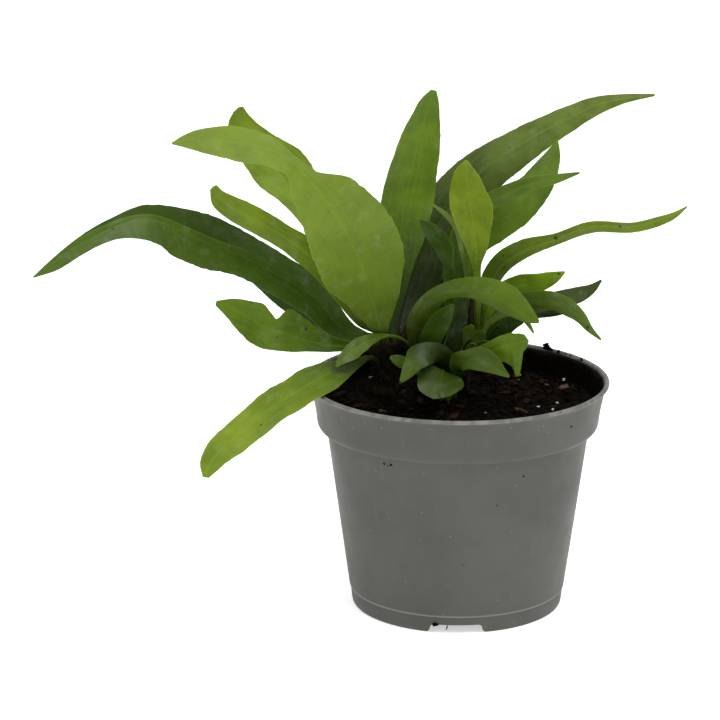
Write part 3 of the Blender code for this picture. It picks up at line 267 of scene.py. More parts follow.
            (38, 5, 148.5, 2.5, 2.3, 10), (52, -2, 155.5, 2.3, 2.5, 20), (69, -9, 157.5, 1.6, 2.4, 10),
            (78, -13, 161, 1.4, 2.3, 0), (83.5, -16, 164, 0.9, 1.5, 0), (88, -18, 167.5, 0.3, 0.3, 0),
        ]),
    "frond_mid_right": Frond(
        in_soil(-0.6, 20.8), "fresh", 1, 0.15, 0.3, [
            (5, 18, 94, 1, 1, 0), (10, 15, 105, 1.4, 1.4, 0), (14, 11, 118, 2.4, 2.4, 0),
            (18, 8, 127, 3.3, 3.7, 8), (24, 5, 129.5, 4.5, 4.7, 15), (32, 1, 132.5, 3.6, 4.2, 20),
            (38, -2, 135.5, 2, 2.6, 20), (41.5, -4, 137.5, 0.5, 0.5, 20),
        ]),
    "frond_drooping_right": Frond(
        in_soil(-1, 14.2), "deep", 1, -0.15, 0.4, [
            (3.5, 11, 96, 1, 1, 0), (8.5, 8, 105, 1.2, 1.2, 0), (13.5, 4, 114.5, 2, 2, 0),
            (20.5, 0, 123, 3.2, 3.2, 0), (30, -6, 126.5, 3.5, 3.7, 10), (37, -11, 127.5, 3.6, 4, 20),
            (42.5, -15, 126, 3.4, 3.5, 20), (47.5, -19, 123, 2.5, 2.3, 15), (51, -22, 119, 1.5, 1.2, 10),
            (55.5, -24, 115.5, 0.4, 0.4, 0),
        ]),
    "frond_back_right": Frond(
        in_soil(1, 30.6), "deep", 1, 0.15, 0.3, [
            (4.5, 28, 91.5, 1, 1, 0), (9.5, 27, 101, 1.2, 1.2, 0), (17.5, 26, 109, 2, 2.1, -8),
            (29, 26, 115.5, 3.2, 3.5, -16), (41, 27, 118.5, 3.3, 4.2, -22),
            (49, 28, 120.5, 2.9, 3.9, -22), (53.5, 29, 122.5, 1.6, 2.5, -20),
            (57.5, 30, 125.5, 0.4, 0.4, -20),
        ]),
    "frond_shade_right": Frond(
        in_soil(-3, 30.8), "dark", 1, 0.08, 0.3, [
            (-0.5, 32, 90, 1.2, 1.2, 0), (2.5, 33, 101, 5.3, 4.1, -5), (8, 34, 108.5, 8.2, 5.9, -12),
            (17, 34, 110.5, 5.4, 5.3, -18), (25, 34, 110.5, 3.7, 3.9, -18), (33, 34, 111, 2.9, 2.6, -15),
            (39.5, 34, 111, 1.8, 1.7, -10), (44, 34, 111, 0.4, 0.4, -10),
        ]),
    "frond_thin_drooping": Frond(
        in_soil(-5.6, 9.8), "olive", 1, 0.1, 0.1, [
            (-1.5, 11, 94, 0.8, 0.8, 0), (1.5, 9.5, 99, 0.8, 0.8, 0), (5, 6.5, 103.5, 0.8, 0.8, 0),
            (8.5, 3, 108.5, 0.8, 0.8, 0), (13.5, 0, 116.5, 1.2, 1.2, 0), (20, -6, 121, 1.2, 1.2, 0),
            (25, -9, 120.5, 1.2, 1.2, 0), (27.5, -11, 118, 0.9, 0.9, 0), (29.5, -13, 115, 0.4, 0.4, 0),
        ]),
    "frond_lobed_right": Frond(
        in_soil(-3.6, 4.8), "lime", 1, 0.04, 0.1, [
            (0.5, 2.5, 91.5, 1, 1, 0), (3.5, -4, 98.5, 1.6, 1.6, 0), (7, -8, 103.5, 2.4, 2.4, 0),
            (10, -10.5, 106, 3.2, 3.2, 0), (13, -12, 107.5, 3.5, 5.1, 0), (15.5, -13, 109, 3.7, 6.3, 0),
            (17.5, -13.5, 110, 3.9, 7.9, 0), (19.5, -13.5, 110.5, 4.1, 9.8, 0),
            (21, -14, 111, 4.1, 13.3, 0), (22.5, -14, 111, 3.9, 13.7, 0),
            (24, -14.5, 111.5, 3.7, 5.1, 0), (26, -14.5, 112, 2.9, 3.3, 0),
            (27.5, -15, 112, 0.5, 0.5, 0),
        ]),
    "frond_pointed_front": Frond(
        in_soil(-6.4, 5), "fresh", 1, 0.12, 0.3, [
            (-3, 1, 88.5, 1, 1, 0), (-2, -2, 94.5, 1, 1, 0), (-1.5, -7, 99.5, 2, 2, 0),
            (0, -11.5, 103, 3.5, 4.3, 0), (3.5, -14.5, 104.5, 3.7, 3.9, 10),
            (8, -17, 105.5, 4.9, 4.7, 10), (13, -19, 103.5, 4.5, 3.3, 10),
            (16.5, -20.5, 101.5, 2.4, 1.9, 10), (20, -22, 99.5, 0.4, 0.4, 0),
        ]),
    "frond_wavy_front": Frond(
        in_soil(-9, 12.6), "lime", 1, -0.12, 0.9, [
            (-7, 4, 92, 1.6, 1.6, 0), (-5, -1, 98, 5.2, 4, 0), (-7, -8, 104.5, 4.3, 4.1, 10),
            (-11.5, -13, 106.5, 4.6, 4.8, 20), (-15.5, -16, 105.5, 4.8, 5.7, 20),
            (-18.5, -18, 102, 3.1, 3.4, 15), (-20.5, -19, 99, 2.1, 2.2, 10),
            (-22.5, -20, 96.5, 0.6, 0.6, 0),
        ]),
    "frond_round_front": Frond(
        in_soil(-9, 7.6), "fresh", 1, -0.1, 0.6, [
            (-8.5, 2, 87.5, 1.2, 1.2, 0), (-7, -1.5, 92.5, 1.4, 1.4, 0), (-6, -4, 96, 2.4, 2.4, 0),
            (-6, -7, 97.5, 5.5, 5.5, 0), (-6.5, -11.5, 96.5, 7.9, 7.9, 0), (-7, -16, 94.5, 9.1, 9.1, 0),
            (-7, -19.5, 92.5, 7.9, 8.2, 0), (-6.5, -22, 90.5, 3.1, 3.1, 0),
        ]),
    "frond_stub_front": Frond(
        in_soil(-12.6, 8.4), "lime", 1, 0.1, 0.2, [
            (-14, 4, 90.5, 0.9, 0.9, 0), (-16.5, 1, 95, 1, 1, 0), (-19, -1, 98, 1.6, 1.6, 0),
            (-22.5, -2, 99.5, 2.4, 2.6, 0), (-25, -3, 101, 1.8, 2, 0), (-27, -3, 102, 0.6, 0.6, 0),
        ]),
    "frond_curled_front": Frond(
        in_soil(-12.6, 12), "fresh", 1, 0.2, 0.5, [
            (-12, 4, 96.5, 1, 1, 0), (-12.5, 0, 103.5, 2.4, 2, 0), (-11, -2, 109, 4.6, 3.9, 10),
            (-8.5, -3.5, 114.5, 4.8, 4.3, 15), (-5.5, -5, 120, 3.7, 3.5, 10),
            (-2, -6, 124.5, 0.6, 0.6, 0),
        ]),
    "frond_knob_tip": Frond(
        in_soil(-10, 16.6), "fresh", 1, 0.1, 0.1, [
            (-7.5, 11, 96, 0.9, 0.9, 0), (-4, 7.5, 107, 0.9, 0.9, 0), (-0.5, 5.5, 120, 1.6, 1.6, 0),
            (0, 5, 126.5, 1.9, 1.9, 0), (-0.5, 5, 129.5, 1.2, 1.2, 0), (-0.5, 5, 131, 0.5, 0.5, 0),
        ]),
    "frond_slim_front": Frond(
        in_soil(-7, 13.8), "deep", 1, 0.12, 0.2, [
            (-3.5, 7, 97, 0.9, 0.9, 0), (-2.5, 3.5, 103, 2.4, 2.4, 0), (-1, 2.5, 108.5, 3.4, 2.6, 0),
            (1, 2, 114.5, 2.8, 2.4, 0), (1.5, 1.5, 121, 1.8, 1.8, 0), (1, 1.5, 125, 0.4, 0.4, 0),
        ]),
    "frond_shade_front": Frond(
        in_soil(0.4, 17.4), "dark", 1, 0.08, 0.3, [
            (5, 14.5, 95, 1, 1, 0), (10.5, 12, 103, 2, 2, 0), (14, 11, 107.5, 3.6, 3.6, 0),
            (18, 10.5, 111, 4, 4, 0), (21.5, 10, 113, 3.2, 3.2, 0), (26, 9.5, 113.5, 0.6, 0.6, 0),
        ]),
    "frond_shade_back": Frond(
        in_soil(-12, 27), "dark", 1, 0.08, 0.3, [
            (-10, 28, 96.5, 2.4, 2.4, 0), (-11, 32, 105.5, 5, 5.3, 8), (-10.5, 36, 115, 6, 5.7, 14),
            (-8.5, 39, 124, 4.8, 4.5, 16), (-6.5, 41, 130, 2.1, 2, 12), (-5, 42, 134, 0.4, 0.4, 12),
        ]),
}

# Light of the studio: the surround's strength at its sides and above, the floor's glow, and the
# lights' names, places, sizes in metres and powers in watts
WORLD_LOW = 0.18
WORLD_HIGH = 1.15
FLOOR_GLOW = 0.50
LIGHTS = [("key", (0.6, -0.5, 1.5), 1.0, 12.0), ("fill", (-0.9, -1.1, 0.8), 1.0, 0.8)]

# Stubs of old stalks on the crown of the rhizome, and two dark stalks standing in the soil that stand in for
# the shade deep in the cluster, each by its route in millimetres
OLD_STALK_RADIUS = 1.5
OLD_STALKS_AND_SHADE_FILLERS = [
    [(-27.0, 13.0, 100.0), (-26.0, 13.2, 103.0), (-25.0, 13.6, 106.0),
     (-24.4, 14.0, 109.0), (-24.0, 14.4, 111.0)],
    [(-25.5, 14.6, 100.0), (-23.8, 15.0, 103.0), (-22.0, 15.6, 106.0),
     (-20.8, 16.2, 109.0), (-20.2, 16.6, 111.0)],
    [(-29.0, 15.4, 101.0), (-28.4, 16.0, 104.0), (-28.0, 16.6, 107.0),
     (-27.6, 17.2, 110.0), (-27.4, 17.6, 112.0)],
    [(-25.0, 16.0, 99.0), (-22.4, 16.8, 102.0), (-20.0, 17.6, 105.0),
     (-18.2, 18.4, 108.0), (-17.2, 19.0, 110.5)],
    [(-6.5, 14.0, 80.0), (-6.3, 14.0, 88.0), (-6.0, 14.2, 96.0),
     (-5.8, 14.4, 104.0), (-5.6, 14.6, 110.0)],
    [(3.6, 15.0, 80.0), (3.9, 15.0, 92.0), (4.2, 14.6, 104.0),
     (4.4, 14.4, 117.0), (4.5, 14.2, 129.0)],
]

# How many loose crumbs, fibres, scales on the rhizome and small chips of each kind there are
CRUMB_COUNT = 1500
FIBRE_COUNT = 150
SCALE_COUNT = 420
EXTRA_CHIPS = {"perlite": 7, "straw": 8, "bark": 30, "pink": 3}

# Crumbs stuck to the pot: heading in degrees, height and size in millimetres
STUCK = [
    (203.0, 93.2, 1.5), (203.4, 94.3, 1.2), (202.6, 95.2, 1.0), (-123.0, 70.3, 1.0), (-121.2, 69.6, 0.6),
    (-119.5, 70.4, 1.2), (-87.0, 30.0, 0.6), (-60.0, 66.0, 0.8), (-40.0, 84.0, 0.8), (-72.0, 55.0, 0.5),
    (-101.5, 3.6, 2.2), (-100.2, 3.7, 1.4),
]

# Ragged clumps on the rim: heading and its spread in degrees, how high they stand in mm, crumbs
RIM_CLUMPS = [(51.8, 2.4, 2.4, 34), (44.0, 7.0, 0.3, 22), (34.0, 5.0, 0.2, 8), (120.0, 6.0, 0.4, 12)]

# Soil film inside the rim: its mean top, how far that edge frays, and how far it stands off the wall
FILM_TOP = 90.4
FILM_FRAY = 1.0
FILM_DEPTH = 0.35

# The collar's inner face: its radius at a height, and how it widens upward
COLLAR_INSIDE = RIM_RADIUS - 4.2
COLLAR_MIDDLE = POT_HEIGHT - 9.5
COLLAR_SLOPE = 0.245

# A fine root that hangs through the front notch: heading in degrees, top and bottom height
HANGING_ROOT = (-95.0, 3.9, 1.2)

# Looks of the fronds: tone, or None for the part's own; how much lighter than the tone, partly the frond's
# own tone and partly painted light and shade for how lit it sits; how far up the painted shade at its foot
# reaches
LOOKS = {
    "frond_long_left": (None, 1.10, 0.03), "frond_under_left": (None, 0.86, 0.10),
    "frond_forked_left": (None, 0.98, 0.22), "frond_low_left": (None, 1.0, 0.52),
    "frond_small_front": ("fresh", 0.74, 0.66), "frond_broad_front": (None, 0.93, 0.12),
    "frond_curl_high_left": ("warm", 1.35, 0.22), "frond_narrow_left": ("warm", 1.05, 0.28),
    "frond_upright": (None, 1.05, 0.70), "frond_long_right": (None, 1.0, 0.68),
    "frond_broad_right": ("fresh", 0.92, 0.36), "frond_pointed_right": (None, 0.86, 0.30),
    "frond_bright_upright": (None, 0.98, 0.64), "frond_slim_upright": ("dark", 1.2, 0.22),
    "frond_dark_short": (None, 1.2, 0.22), "frond_arching_front": (None, 0.67, 0.70),
    "frond_wavy_right": ("warm", 1.06, 0.20), "frond_mid_right": (None, 1.75, 0.26),
    "frond_drooping_right": (None, 1.05, 0.05), "frond_back_right": ("deep", 0.52, 0.36),
    "frond_shade_right": ("shade", 0.9, 0.15), "frond_lobed_right": ("fresh", 0.95, 0.12),
    "frond_pointed_front": ("deep", 1.15, 0.02), "frond_wavy_front": ("deep", 1.10, 0.01),
    "frond_round_front": ("deep", 0.62, 0.15), "frond_stub_front": ("deep", 1.1, 0.22),
    "frond_curled_front": ("dark", 1.1, 0.02), "frond_knob_tip": ("dark", 1.6, 0.05),
    "frond_slim_front": ("shade", 1.15, 0.25), "frond_shade_front": ("shade", 1.4, 0.02),
    "frond_shade_back": ("shade", 1.15, 0.22),
}

# Fronds with painted shade on a band along the right-hand edge, as if it folds away, and a painted highlight
# along the fold line: how far off the midrib in mm, and from and to which share
FOLD_SHADE_STRIPS = {"frond_long_left": (2.6, 0.42, 0.86), "frond_under_left": (2.0, 0.3, 0.9)}

# Stretches of fronds with painted shade, as shares of the length
PAINTED_SHADE_STRETCHES = {"frond_wavy_front": (0.36, 0.84)}

# Points closer than this, in metres, are joined
WELD_DISTANCE = 0.000001

# Side veins, how steeply they leave the midrib and how close they stand; and the blades' sheen
VEIN_SLANT = 0.75
VEIN_PACE = 2.9
LEAF_SPECULAR = 0.18

# Colours that lie over the green of the blades
MILKY_FILM = (0.30, 0.38, 0.26)
DRIED_DROP = (0.42, 0.48, 0.30)
SPOT_BROWN = (0.024, 0.016, 0.008)
# Painted shade over the foot of each frond, where the fronds crowd round the crown
FOOT_SHADE = (0.009, 0.014, 0.003)

# Colours of the pot
PLASTIC_GREYS = ((0.077, 0.079, 0.070), (0.096, 0.097, 0.086))
SCUFF_GREY = (0.130, 0.130, 0.118)
DUST_GREY = (0.34, 0.34, 0.30)
GRIT_BROWN = (0.035, 0.030, 0.025)
# Dark inner wall: partly soil staining and partly painted shade inside the pot
SOIL_STAIN_AND_SHADE = (0.007, 0.005, 0.004)
WORN_LIP = (0.27, 0.26, 0.24)
# Painted highlight along the top of the foot's ledge
LEDGE_HIGHLIGHT = (0.26, 0.26, 0.24)

# How much of the plain blades' ripple the fine ones keep
RIPPLE_SHARE = 0.4

# How far up the frond the painted shade at its foot reaches, as a share of its length, unless its look says
# more
FOOT_SHADE_REACH = 0.22

# Tones of the blades: the colour of the lower part, of the tip, and how shiny the blade is. The lower part is
# darker partly as the frond's own colour and partly as painted shade deep in the cluster; the shade and dark
# tones are painted shade for fronds that sit in shadow.
TONES = {
    "shade": ((0.008, 0.017, 0.001), (0.016, 0.032, 0.002), 0.42),
    "dark": ((0.018, 0.040, 0.002), (0.030, 0.062, 0.003), 0.36),
    "deep": ((0.032, 0.072, 0.003), (0.066, 0.110, 0.010), 0.32),
    "fresh": ((0.034, 0.074, 0.003), (0.115, 0.195, 0.008), 0.33),
    "lime": ((0.052, 0.106, 0.003), (0.190, 0.270, 0.014), 0.34),
    "warm": ((0.052, 0.094, 0.005), (0.148, 0.215, 0.014), 0.36),
    "pale": ((0.118, 0.188, 0.018), (0.165, 0.240, 0.014), 0.46),
    "olive": ((0.020, 0.036, 0.002), (0.122, 0.176, 0.024), 0.30),
}

# Brown spots on the blades: how far along the frond (share), how far across (share), radius in mm
SPOTS = {
    "frond_forked_left": [(0.46, -0.55, 0.8), (0.62, 0.30, 0.5)],
    "frond_wavy_right": [(0.61, 0.2, 1.0), (0.80, 0.1, 0.6), (0.45, 0.5, 0.4)],
    "frond_long_right": [(0.61, 0.2, 0.4), (0.45, -0.6, 0.5)],
    "frond_drooping_right": [(0.93, 0.0, 0.8)],
    "frond_mid_right": [(0.97, 0.2, 0.7)],
    "frond_long_left": [(0.78, 0.1, 0.6)],
    "frond_low_left": [(0.70, 0.4, 0.5)],
}

# Juvenile leaves: x, y and height of each tip and its half width in mm, and the outline they share
JUVENILES = [
    (5.5, -2.0, 115.0, 2.4), (10.0, -3.0, 113.0, 2.6), (12.0, -6.5, 109.5, 2.4), (6.5, -6.5, 108.5, 2.2),
]
JUVENILE_OUTLINE = [(0.4, 0.25), (0.72, 0.28), (0.8, 0.75), (0.88, 1.0), (0.96, 0.75), (1.0, 0.3)]

# Larger bits on the soil: x, y, length, width, height, heading, kind
CHIPS = [
    (43.6, 34.6, 2.2, 1.8, 2.4, 40, "perlite"), (42.8, 21.0, 4.6, 4.0, 2.4, 15, "pink"),
    (25.2, -12.0, 6.5, 4.0, 2.0, 20, "straw"), (1.2, -4.0, 6.0, 4.0, 1.6, 70, "bark"),
    (19.2, 12.4, 7.0, 3.5, 1.6, 150, "bark"), (-29.6, -12.0, 3.6, 3.0, 2.0, 10, "straw"),
    (-40.0, -6.0, 6.0, 4.0, 1.8, 60, "bark"), (34.0, 30.0, 6.0, 4.0, 2.0, 120, "bark"),
    (-6.0, -8.0, 5.0, 3.0, 1.6, 100, "bark"), (10.0, 44.0, 8.0, 4.5, 2.0, 30, "bark"),
    (-30.0, 38.0, 7.0, 4.0, 2.2, 75, "bark"), (-48.0, 10.0, 6.0, 4.0, 2.0, 5, "bark"),
]


def node(tree, kind, **values):
    """A shader node with its properties and the values of its named inputs."""
    made = tree.nodes.new(kind)
    for key, value in values.items():
        if hasattr(made, key):
            setattr(made, key, value)
        else:
            made.inputs[key.replace("_", " ")].default_value = value
    return made


def feed(tree, value, socket):
    """Give an input its value: a number, an RGB triple or what another socket puts out."""
    if isinstance(value, tuple):
        socket.default_value = (*value, 1.0)
    elif isinstance(value, (int, float)):
        socket.default_value = value
    else:
        tree.links.new(value, socket)


def math_node(tree, operation, first, second=0.0, third=0.0):
    """A math node; each operand is a socket or a number."""
    made = tree.nodes.new("ShaderNodeMath")
    made.operation = operation
    for index, operand in enumerate((first, second, third)):
        feed(tree, operand, made.inputs[index])
    return made.outputs[0]


def times(tree, first, second):
    """The product of two values."""
    return math_node(tree, "MULTIPLY", first, second)


def ramp_value(tree, value, low, high, to_low=0.0, to_high=1.0):
    """A value brought smoothly from one range to another, and held at its ends."""
    made = tree.nodes.new("ShaderNodeMapRange")
    made.interpolation_type = "SMOOTHSTEP"
    for name, number in (("From Min", low), ("From Max", high), ("To Min", to_low), ("To Max", to_high)):
        made.inputs[name].default_value = number
    tree.links.new(value, made.inputs["Value"])
    return made.outputs["Result"]


def mix_color(tree, factor, first, second):
    """Two colours mixed; each is a socket or an RGB triple, and the factor is a socket."""
    made = tree.nodes.new("ShaderNodeMix")
    made.data_type = "RGBA"
    for index, value in ((0, factor), (6, first), (7, second)):
        feed(tree, value, made.inputs[index])
    return made.outputs[2]


def noise_value(tree, scale, detail=4.0, roughness=0.6, vector=None):
    """A noise texture's value; its scale is per metre unless a vector in other units is given."""
    made = node(tree, "ShaderNodeTexNoise", Scale=scale, Detail=detail, Roughness=roughness)
    if vector is None:
        vector = tree.nodes.new("ShaderNodeTexCoord").outputs["Object"]
    tree.links.new(vector, made.inputs["Vector"])
    return made.outputs["Fac"]


def laid_over(tree, base, color, where, amount):
    """A base with a colour laid over it, as far as a value and an amount say."""
    return mix_color(tree, times(tree, where, amount), base, color)


def stretch(tree, share, begin, end, soft_begin, soft_end):
    """A value of 1 on a stretch of the length and 0 off it, with soft ends."""
    rise = ramp_value(tree, share, begin - soft_begin, begin + soft_begin)
    return times(tree, rise, ramp_value(tree, share, end - soft_end, end + soft_end, 1.0, 0.0))


def specks(tree, place, scale, rarity, inner, outer):
    """Scattered round dots, in all cells of a pattern but the share that rarity says."""
    cells = node(tree, "ShaderNodeTexVoronoi", Scale=scale)
    tree.links.new(place, cells.inputs["Vector"])
    chosen = math_node(tree, "GREATER_THAN", cells.outputs["Color"], rarity)
    return times(tree, ramp_value(tree, cells.outputs["Distance"], inner, outer, 1.0, 0.0), chosen)


def attribute(tree, name):
    """A mesh attribute's value."""
    made = tree.nodes.new("ShaderNodeAttribute")
    made.attribute_name = name
    return made.outputs["Fac"]


def combine(tree, x, y, z=0.0):
    """A vector from three values."""
    made = tree.nodes.new("ShaderNodeCombineXYZ")
    for index, value in enumerate((x, y, z)):
        feed(tree, value, made.inputs[index])
    return made.outputs[0]


def start_material(name, roughness, specular=0.5):
    """A material with a Principled shader, ready for its textures."""
    material = bpy.data.materials.new(name)
    material.use_nodes = True
    tree = material.node_tree
    shader = tree.nodes["Principled BSDF"]
    shader.inputs["Roughness"].default_value = roughness
    shader.inputs["Specular IOR Level"].default_value = specular
    return material, tree, shader


def add_bump(tree, shader, height, strength, distance):
    """Fine relief from a height value."""
    bump = node(tree, "ShaderNodeBump", Strength=strength, Distance=distance)
    tree.links.new(height, bump.inputs["Height"])
    tree.links.new(bump.outputs["Normal"], shader.inputs["Normal"])


def scaled(color, factor):
    """A colour made lighter or darker."""
    return tuple(min(channel * factor, 1.0) for channel in color)


def leaf_material(name, low, high, roughness, spots, seed, foot_shade_reach=FOOT_SHADE_REACH, painted_shade=None, fold_shade=None):
    """A blade: mottled green, a faint midrib and edge, fine side veins, dried drops and brown spots.

    The foot gets painted shade as far as foot_shade_reach; painted_shade names a stretch further up that gets
    painted shade too, and fold_shade a band along the right-hand edge that gets painted shade, as if the
    blade folds it away, with a painted highlight along its fold line.
    """
    material, tree, shader = start_material(name, roughness, LEAF_SPECULAR)
    along, across = attribute(tree, "along_mm"), attribute(tree, "across_mm")
    share, from_edge = attribute(tree, "share"), attribute(tree, "edge_mm")
    flat = combine(tree, across, along, seed)
    # Darker toward the foot, partly the frond's own colour and partly painted shade
    base = mix_color(tree, ramp_value(tree, share, 0.12, 0.85), low, high)
    patches = ramp_value(tree, noise_value(tree, 0.07, 3.0, 0.6, flat), 0.30, 0.70)
    base = laid_over(tree, base, scaled(low, 0.72), patches, 0.50)
    stretched = combine(tree, across, times(tree, along, 0.10), seed)
    streaks = ramp_value(tree, noise_value(tree, 0.7, 4.0, 0.65, stretched), 0.35, 0.70)
    base = laid_over(tree, base, scaled(high, 1.15), streaks, 0.26)
    outward = math_node(tree, "ABSOLUTE", across)
    slant = math_node(tree, "MULTIPLY_ADD", outward, VEIN_SLANT, along)
    wobble = math_node(tree, "MULTIPLY_ADD", noise_value(tree, 0.30, 3.0, 0.6, flat), 5.0, slant)
    veins = ramp_value(tree, math_node(tree, "SINE", times(tree, wobble, VEIN_PACE)), 0.55, 1.0)
    base = laid_over(tree, base, scaled(high, 1.3), veins, 0.08)
    film = ramp_value(tree, noise_value(tree, 0.16, 5.0, 0.7, flat), 0.52, 0.72)
    base = laid_over(tree, base, MILKY_FILM, film, 0.13)
    base = laid_over(tree, base, DRIED_DROP, specks(tree, flat, 0.55, 0.84, 0.04, 0.11), 0.42)
    base = laid_over(tree, base, scaled(high, 1.25), ramp_value(tree, outward, 0.10, 0.50, 1.0, 0.0), 0.30)
    base = laid_over(tree, base, scaled(high, 1.5), ramp_value(tree, from_edge, 0.05, 0.35, 1.0, 0.0), 0.32)
    for place, side, radius in spots:
        off_along = math_node(tree, "SUBTRACT", along, place)
        off_across = math_node(tree, "SUBTRACT", across, side)
        squares = math_node(tree, "MULTIPLY_ADD", off_across, off_across, times(tree, off_along, off_along))
        near = ramp_value(tree, math_node(tree, "SQRT", squares), radius * 0.5, radius * 1.2, 1.0, 0.0)
        base = laid_over(tree, base, SPOT_BROWN, near, 0.85)
    # Painted shade beyond a fold line along the right-hand edge, and a painted highlight on the fold line
    if fold_shade:
        beyond, begin, end = fold_shade
        part = stretch(tree, share, begin, end, 0.05, 0.03)
        off_rib = times(tree, across, -1.0)
        wavy = math_node(tree, "MULTIPLY_ADD", noise_value(tree, 0.08, 2.0, 0.5, flat), 1.6, off_rib)
        fold_shade_mask = times(tree, ramp_value(tree, wavy, beyond + 0.6, beyond + 1.0), part)
        base = laid_over(tree, base, scaled(low, 0.45), fold_shade_mask, 0.60)
        crease_highlight = times(tree, ramp_value(tree, wavy, beyond + 0.2, beyond + 0.6),
                       ramp_value(tree, wavy, beyond + 0.7, beyond + 1.0, 1.0, 0.0))
        base = laid_over(tree, base, scaled(high, 1.6), times(tree, crease_highlight, part), 0.35)
    # Painted shade over a stretch of the frond
    if painted_shade:
        base = laid_over(tree, base, scaled(low, 0.20), stretch(tree, share, *painted_shade, 0.08, 0.08), 0.80)
    # Painted shade over the foot of the frond
    base = laid_over(tree, base, FOOT_SHADE, ramp_value(tree, share, 0.0, foot_shade_reach, 1.0, 0.0), 0.85)
    tree.links.new(base, shader.inputs["Base Color"])
    gloss = noise_value(tree, 0.25, 4.0, 0.6, flat)
    gloss = ramp_value(tree, gloss, 0.3, 0.7, roughness - 0.05, roughness + 0.12)
    tree.links.new(gloss, shader.inputs["Roughness"])
    relief = math_node(tree, "MULTIPLY_ADD", streaks, 0.5, times(tree, veins, -0.5))
    relief = math_node(tree, "ADD", relief, noise_value(tree, 1.2, 3.0, 0.6, flat))
    add_bump(tree, shader, relief, 0.30, 0.00010)
    return material


def moved(tree, place, operation, amounts):
    """Coordinates that are shifted or stretched."""
    made = node(tree, "ShaderNodeVectorMath", operation=operation)
    made.inputs[1].default_value = amounts
    tree.links.new(place, made.inputs[0])
    return made.outputs[0]


def plastic_material():
    """The pot: satin grey plastic with faint clouds, scuffs, dust, an inner wall darkened by soil staining
    and painted shade, and a painted highlight on the foot's ledge.
    """
    material, tree, shader = start_material("pot_grey_plastic", 0.5, 0.12)
    place = tree.nodes.new("ShaderNodeTexCoord").outputs["Object"]
    clouds = ramp_value(tree, noise_value(tree, 28.0, 5.0, 0.6), 0.3, 0.7)
    base = mix_color(tree, clouds, *PLASTIC_GREYS)
    upright = moved(tree, place, "MULTIPLY", (1.0, 1.0, 0.10))
    drips = ramp_value(tree, noise_value(tree, 260.0, 3.0, 0.6, upright), 0.60, 0.78)
    base = laid_over(tree, base, SCUFF_GREY, drips, 0.22)
    base = laid_over(tree, base, DUST_GREY, specks(tree, place, 420.0, 0.80, 0.08, 0.16), 0.35)
    shifted = moved(tree, place, "ADD", (0.31, 0.17, 0.23))
    base = laid_over(tree, base, GRIT_BROWN, specks(tree, shifted, 300.0, 0.90, 0.06, 0.15), 0.7)
    inside = attribute(tree, "inside")
    # Soil staining and painted shade darken the whole inner wall
    stain_and_shade = ramp_value(tree, noise_value(tree, 90.0, 4.0, 0.7), 0.25, 0.60)
    base = laid_over(tree, base, SOIL_STAIN_AND_SHADE, inside, math_node(tree, "MULTIPLY_ADD", stain_and_shade, 0.10, 0.90))
    lip = ramp_value(tree, attribute(tree, "lip"), 0.3, 1.0)
    wear = ramp_value(tree, noise_value(tree, 150.0, 4.0, 0.7), 0.35, 0.65)
    base = laid_over(tree, base, WORN_LIP, lip, math_node(tree, "MULTIPLY_ADD", wear, 0.55, 0.15))
    satin = ramp_value(tree, noise_value(tree, 60.0, 4.0, 0.6), 0.3, 0.7, 0.42, 0.58)
    soiled = math_node(tree, "MULTIPLY_ADD", inside, 0.40, satin)
    tree.links.new(soiled, shader.inputs["Roughness"])
    # Painted highlight along the ledge above the foot
    base = laid_over(tree, base, LEDGE_HIGHLIGHT, ramp_value(tree, attribute(tree, "band"), 0.55, 1.0), 0.55)
    tree.links.new(base, shader.inputs["Base Color"])
    add_bump(tree, shader, noise_value(tree, 1500.0, 3.0, 0.6), 0.12, 0.0001)
    return material


def earth_material(name, dark, light, grain, roughness=0.9):
    """Soil, bark or rhizome: a rough mix of a dark and a light tone; each lump has its own tint."""
    material, tree, shader = start_material(name, roughness, 0.02)
    coarse = ramp_value(tree, noise_value(tree, grain, 6.0, 0.7), 0.35, 0.70)
    base = mix_color(tree, coarse, dark, light)
    base = laid_over(tree, base, scaled(light, 2.2), attribute(tree, "tint"), 0.8)
    fine = ramp_value(tree, noise_value(tree, grain * 6.0, 4.0, 0.7), 0.55, 0.75)
    base = laid_over(tree, base, scaled(light, 1.8), fine, 0.35)
    tree.links.new(base, shader.inputs["Base Color"])
    tree.links.new(ramp_value(tree, coarse, 0.0, 1.0, roughness, roughness - 0.2), shader.inputs["Roughness"])
    add_bump(tree, shader, noise_value(tree, grain * 3.0, 6.0, 0.75), 0.7, 0.0004)
    return material


def turn_outward(mesh, weld=False):
    """Turn all faces of a mesh outward, after points that coincide are joined if asked."""
    bm = bmesh.new()
    bm.from_mesh(mesh)
    if weld:
        bmesh.ops.remove_doubles(bm, verts=bm.verts, dist=WELD_DISTANCE)
    bmesh.ops.recalc_face_normals(bm, faces=bm.faces)
    bm.to_mesh(mesh)
    bm.free()


def put_mesh(name, verts, faces, material, values=None):
    """A mesh in metres as a new object; values are point attributes by name."""
    mesh = bpy.data.meshes.new(name)
    mesh.from_pydata([tuple(vert) for vert in verts], [], faces)
    for key, numbers in (values or {}).items():
        layer = mesh.attributes.new(key, "FLOAT", "POINT")
        layer.data.foreach_set("value", numbers)
    mesh.validate()
    mesh.update()
    turn_outward(mesh)
    obj = bpy.data.objects.new(name, mesh)
    bpy.context.scene.collection.objects.link(obj)
    mesh.materials.append(material)
    mesh.shade_smooth()
    return obj


def ring_faces(first, second, count):
    """Faces between two rings of points, given where each ring starts."""
    faces = []
    for step in range(count):
        after = (step + 1) % count
        faces.append((first + step, second + step, second + after, first + after))
    return faces


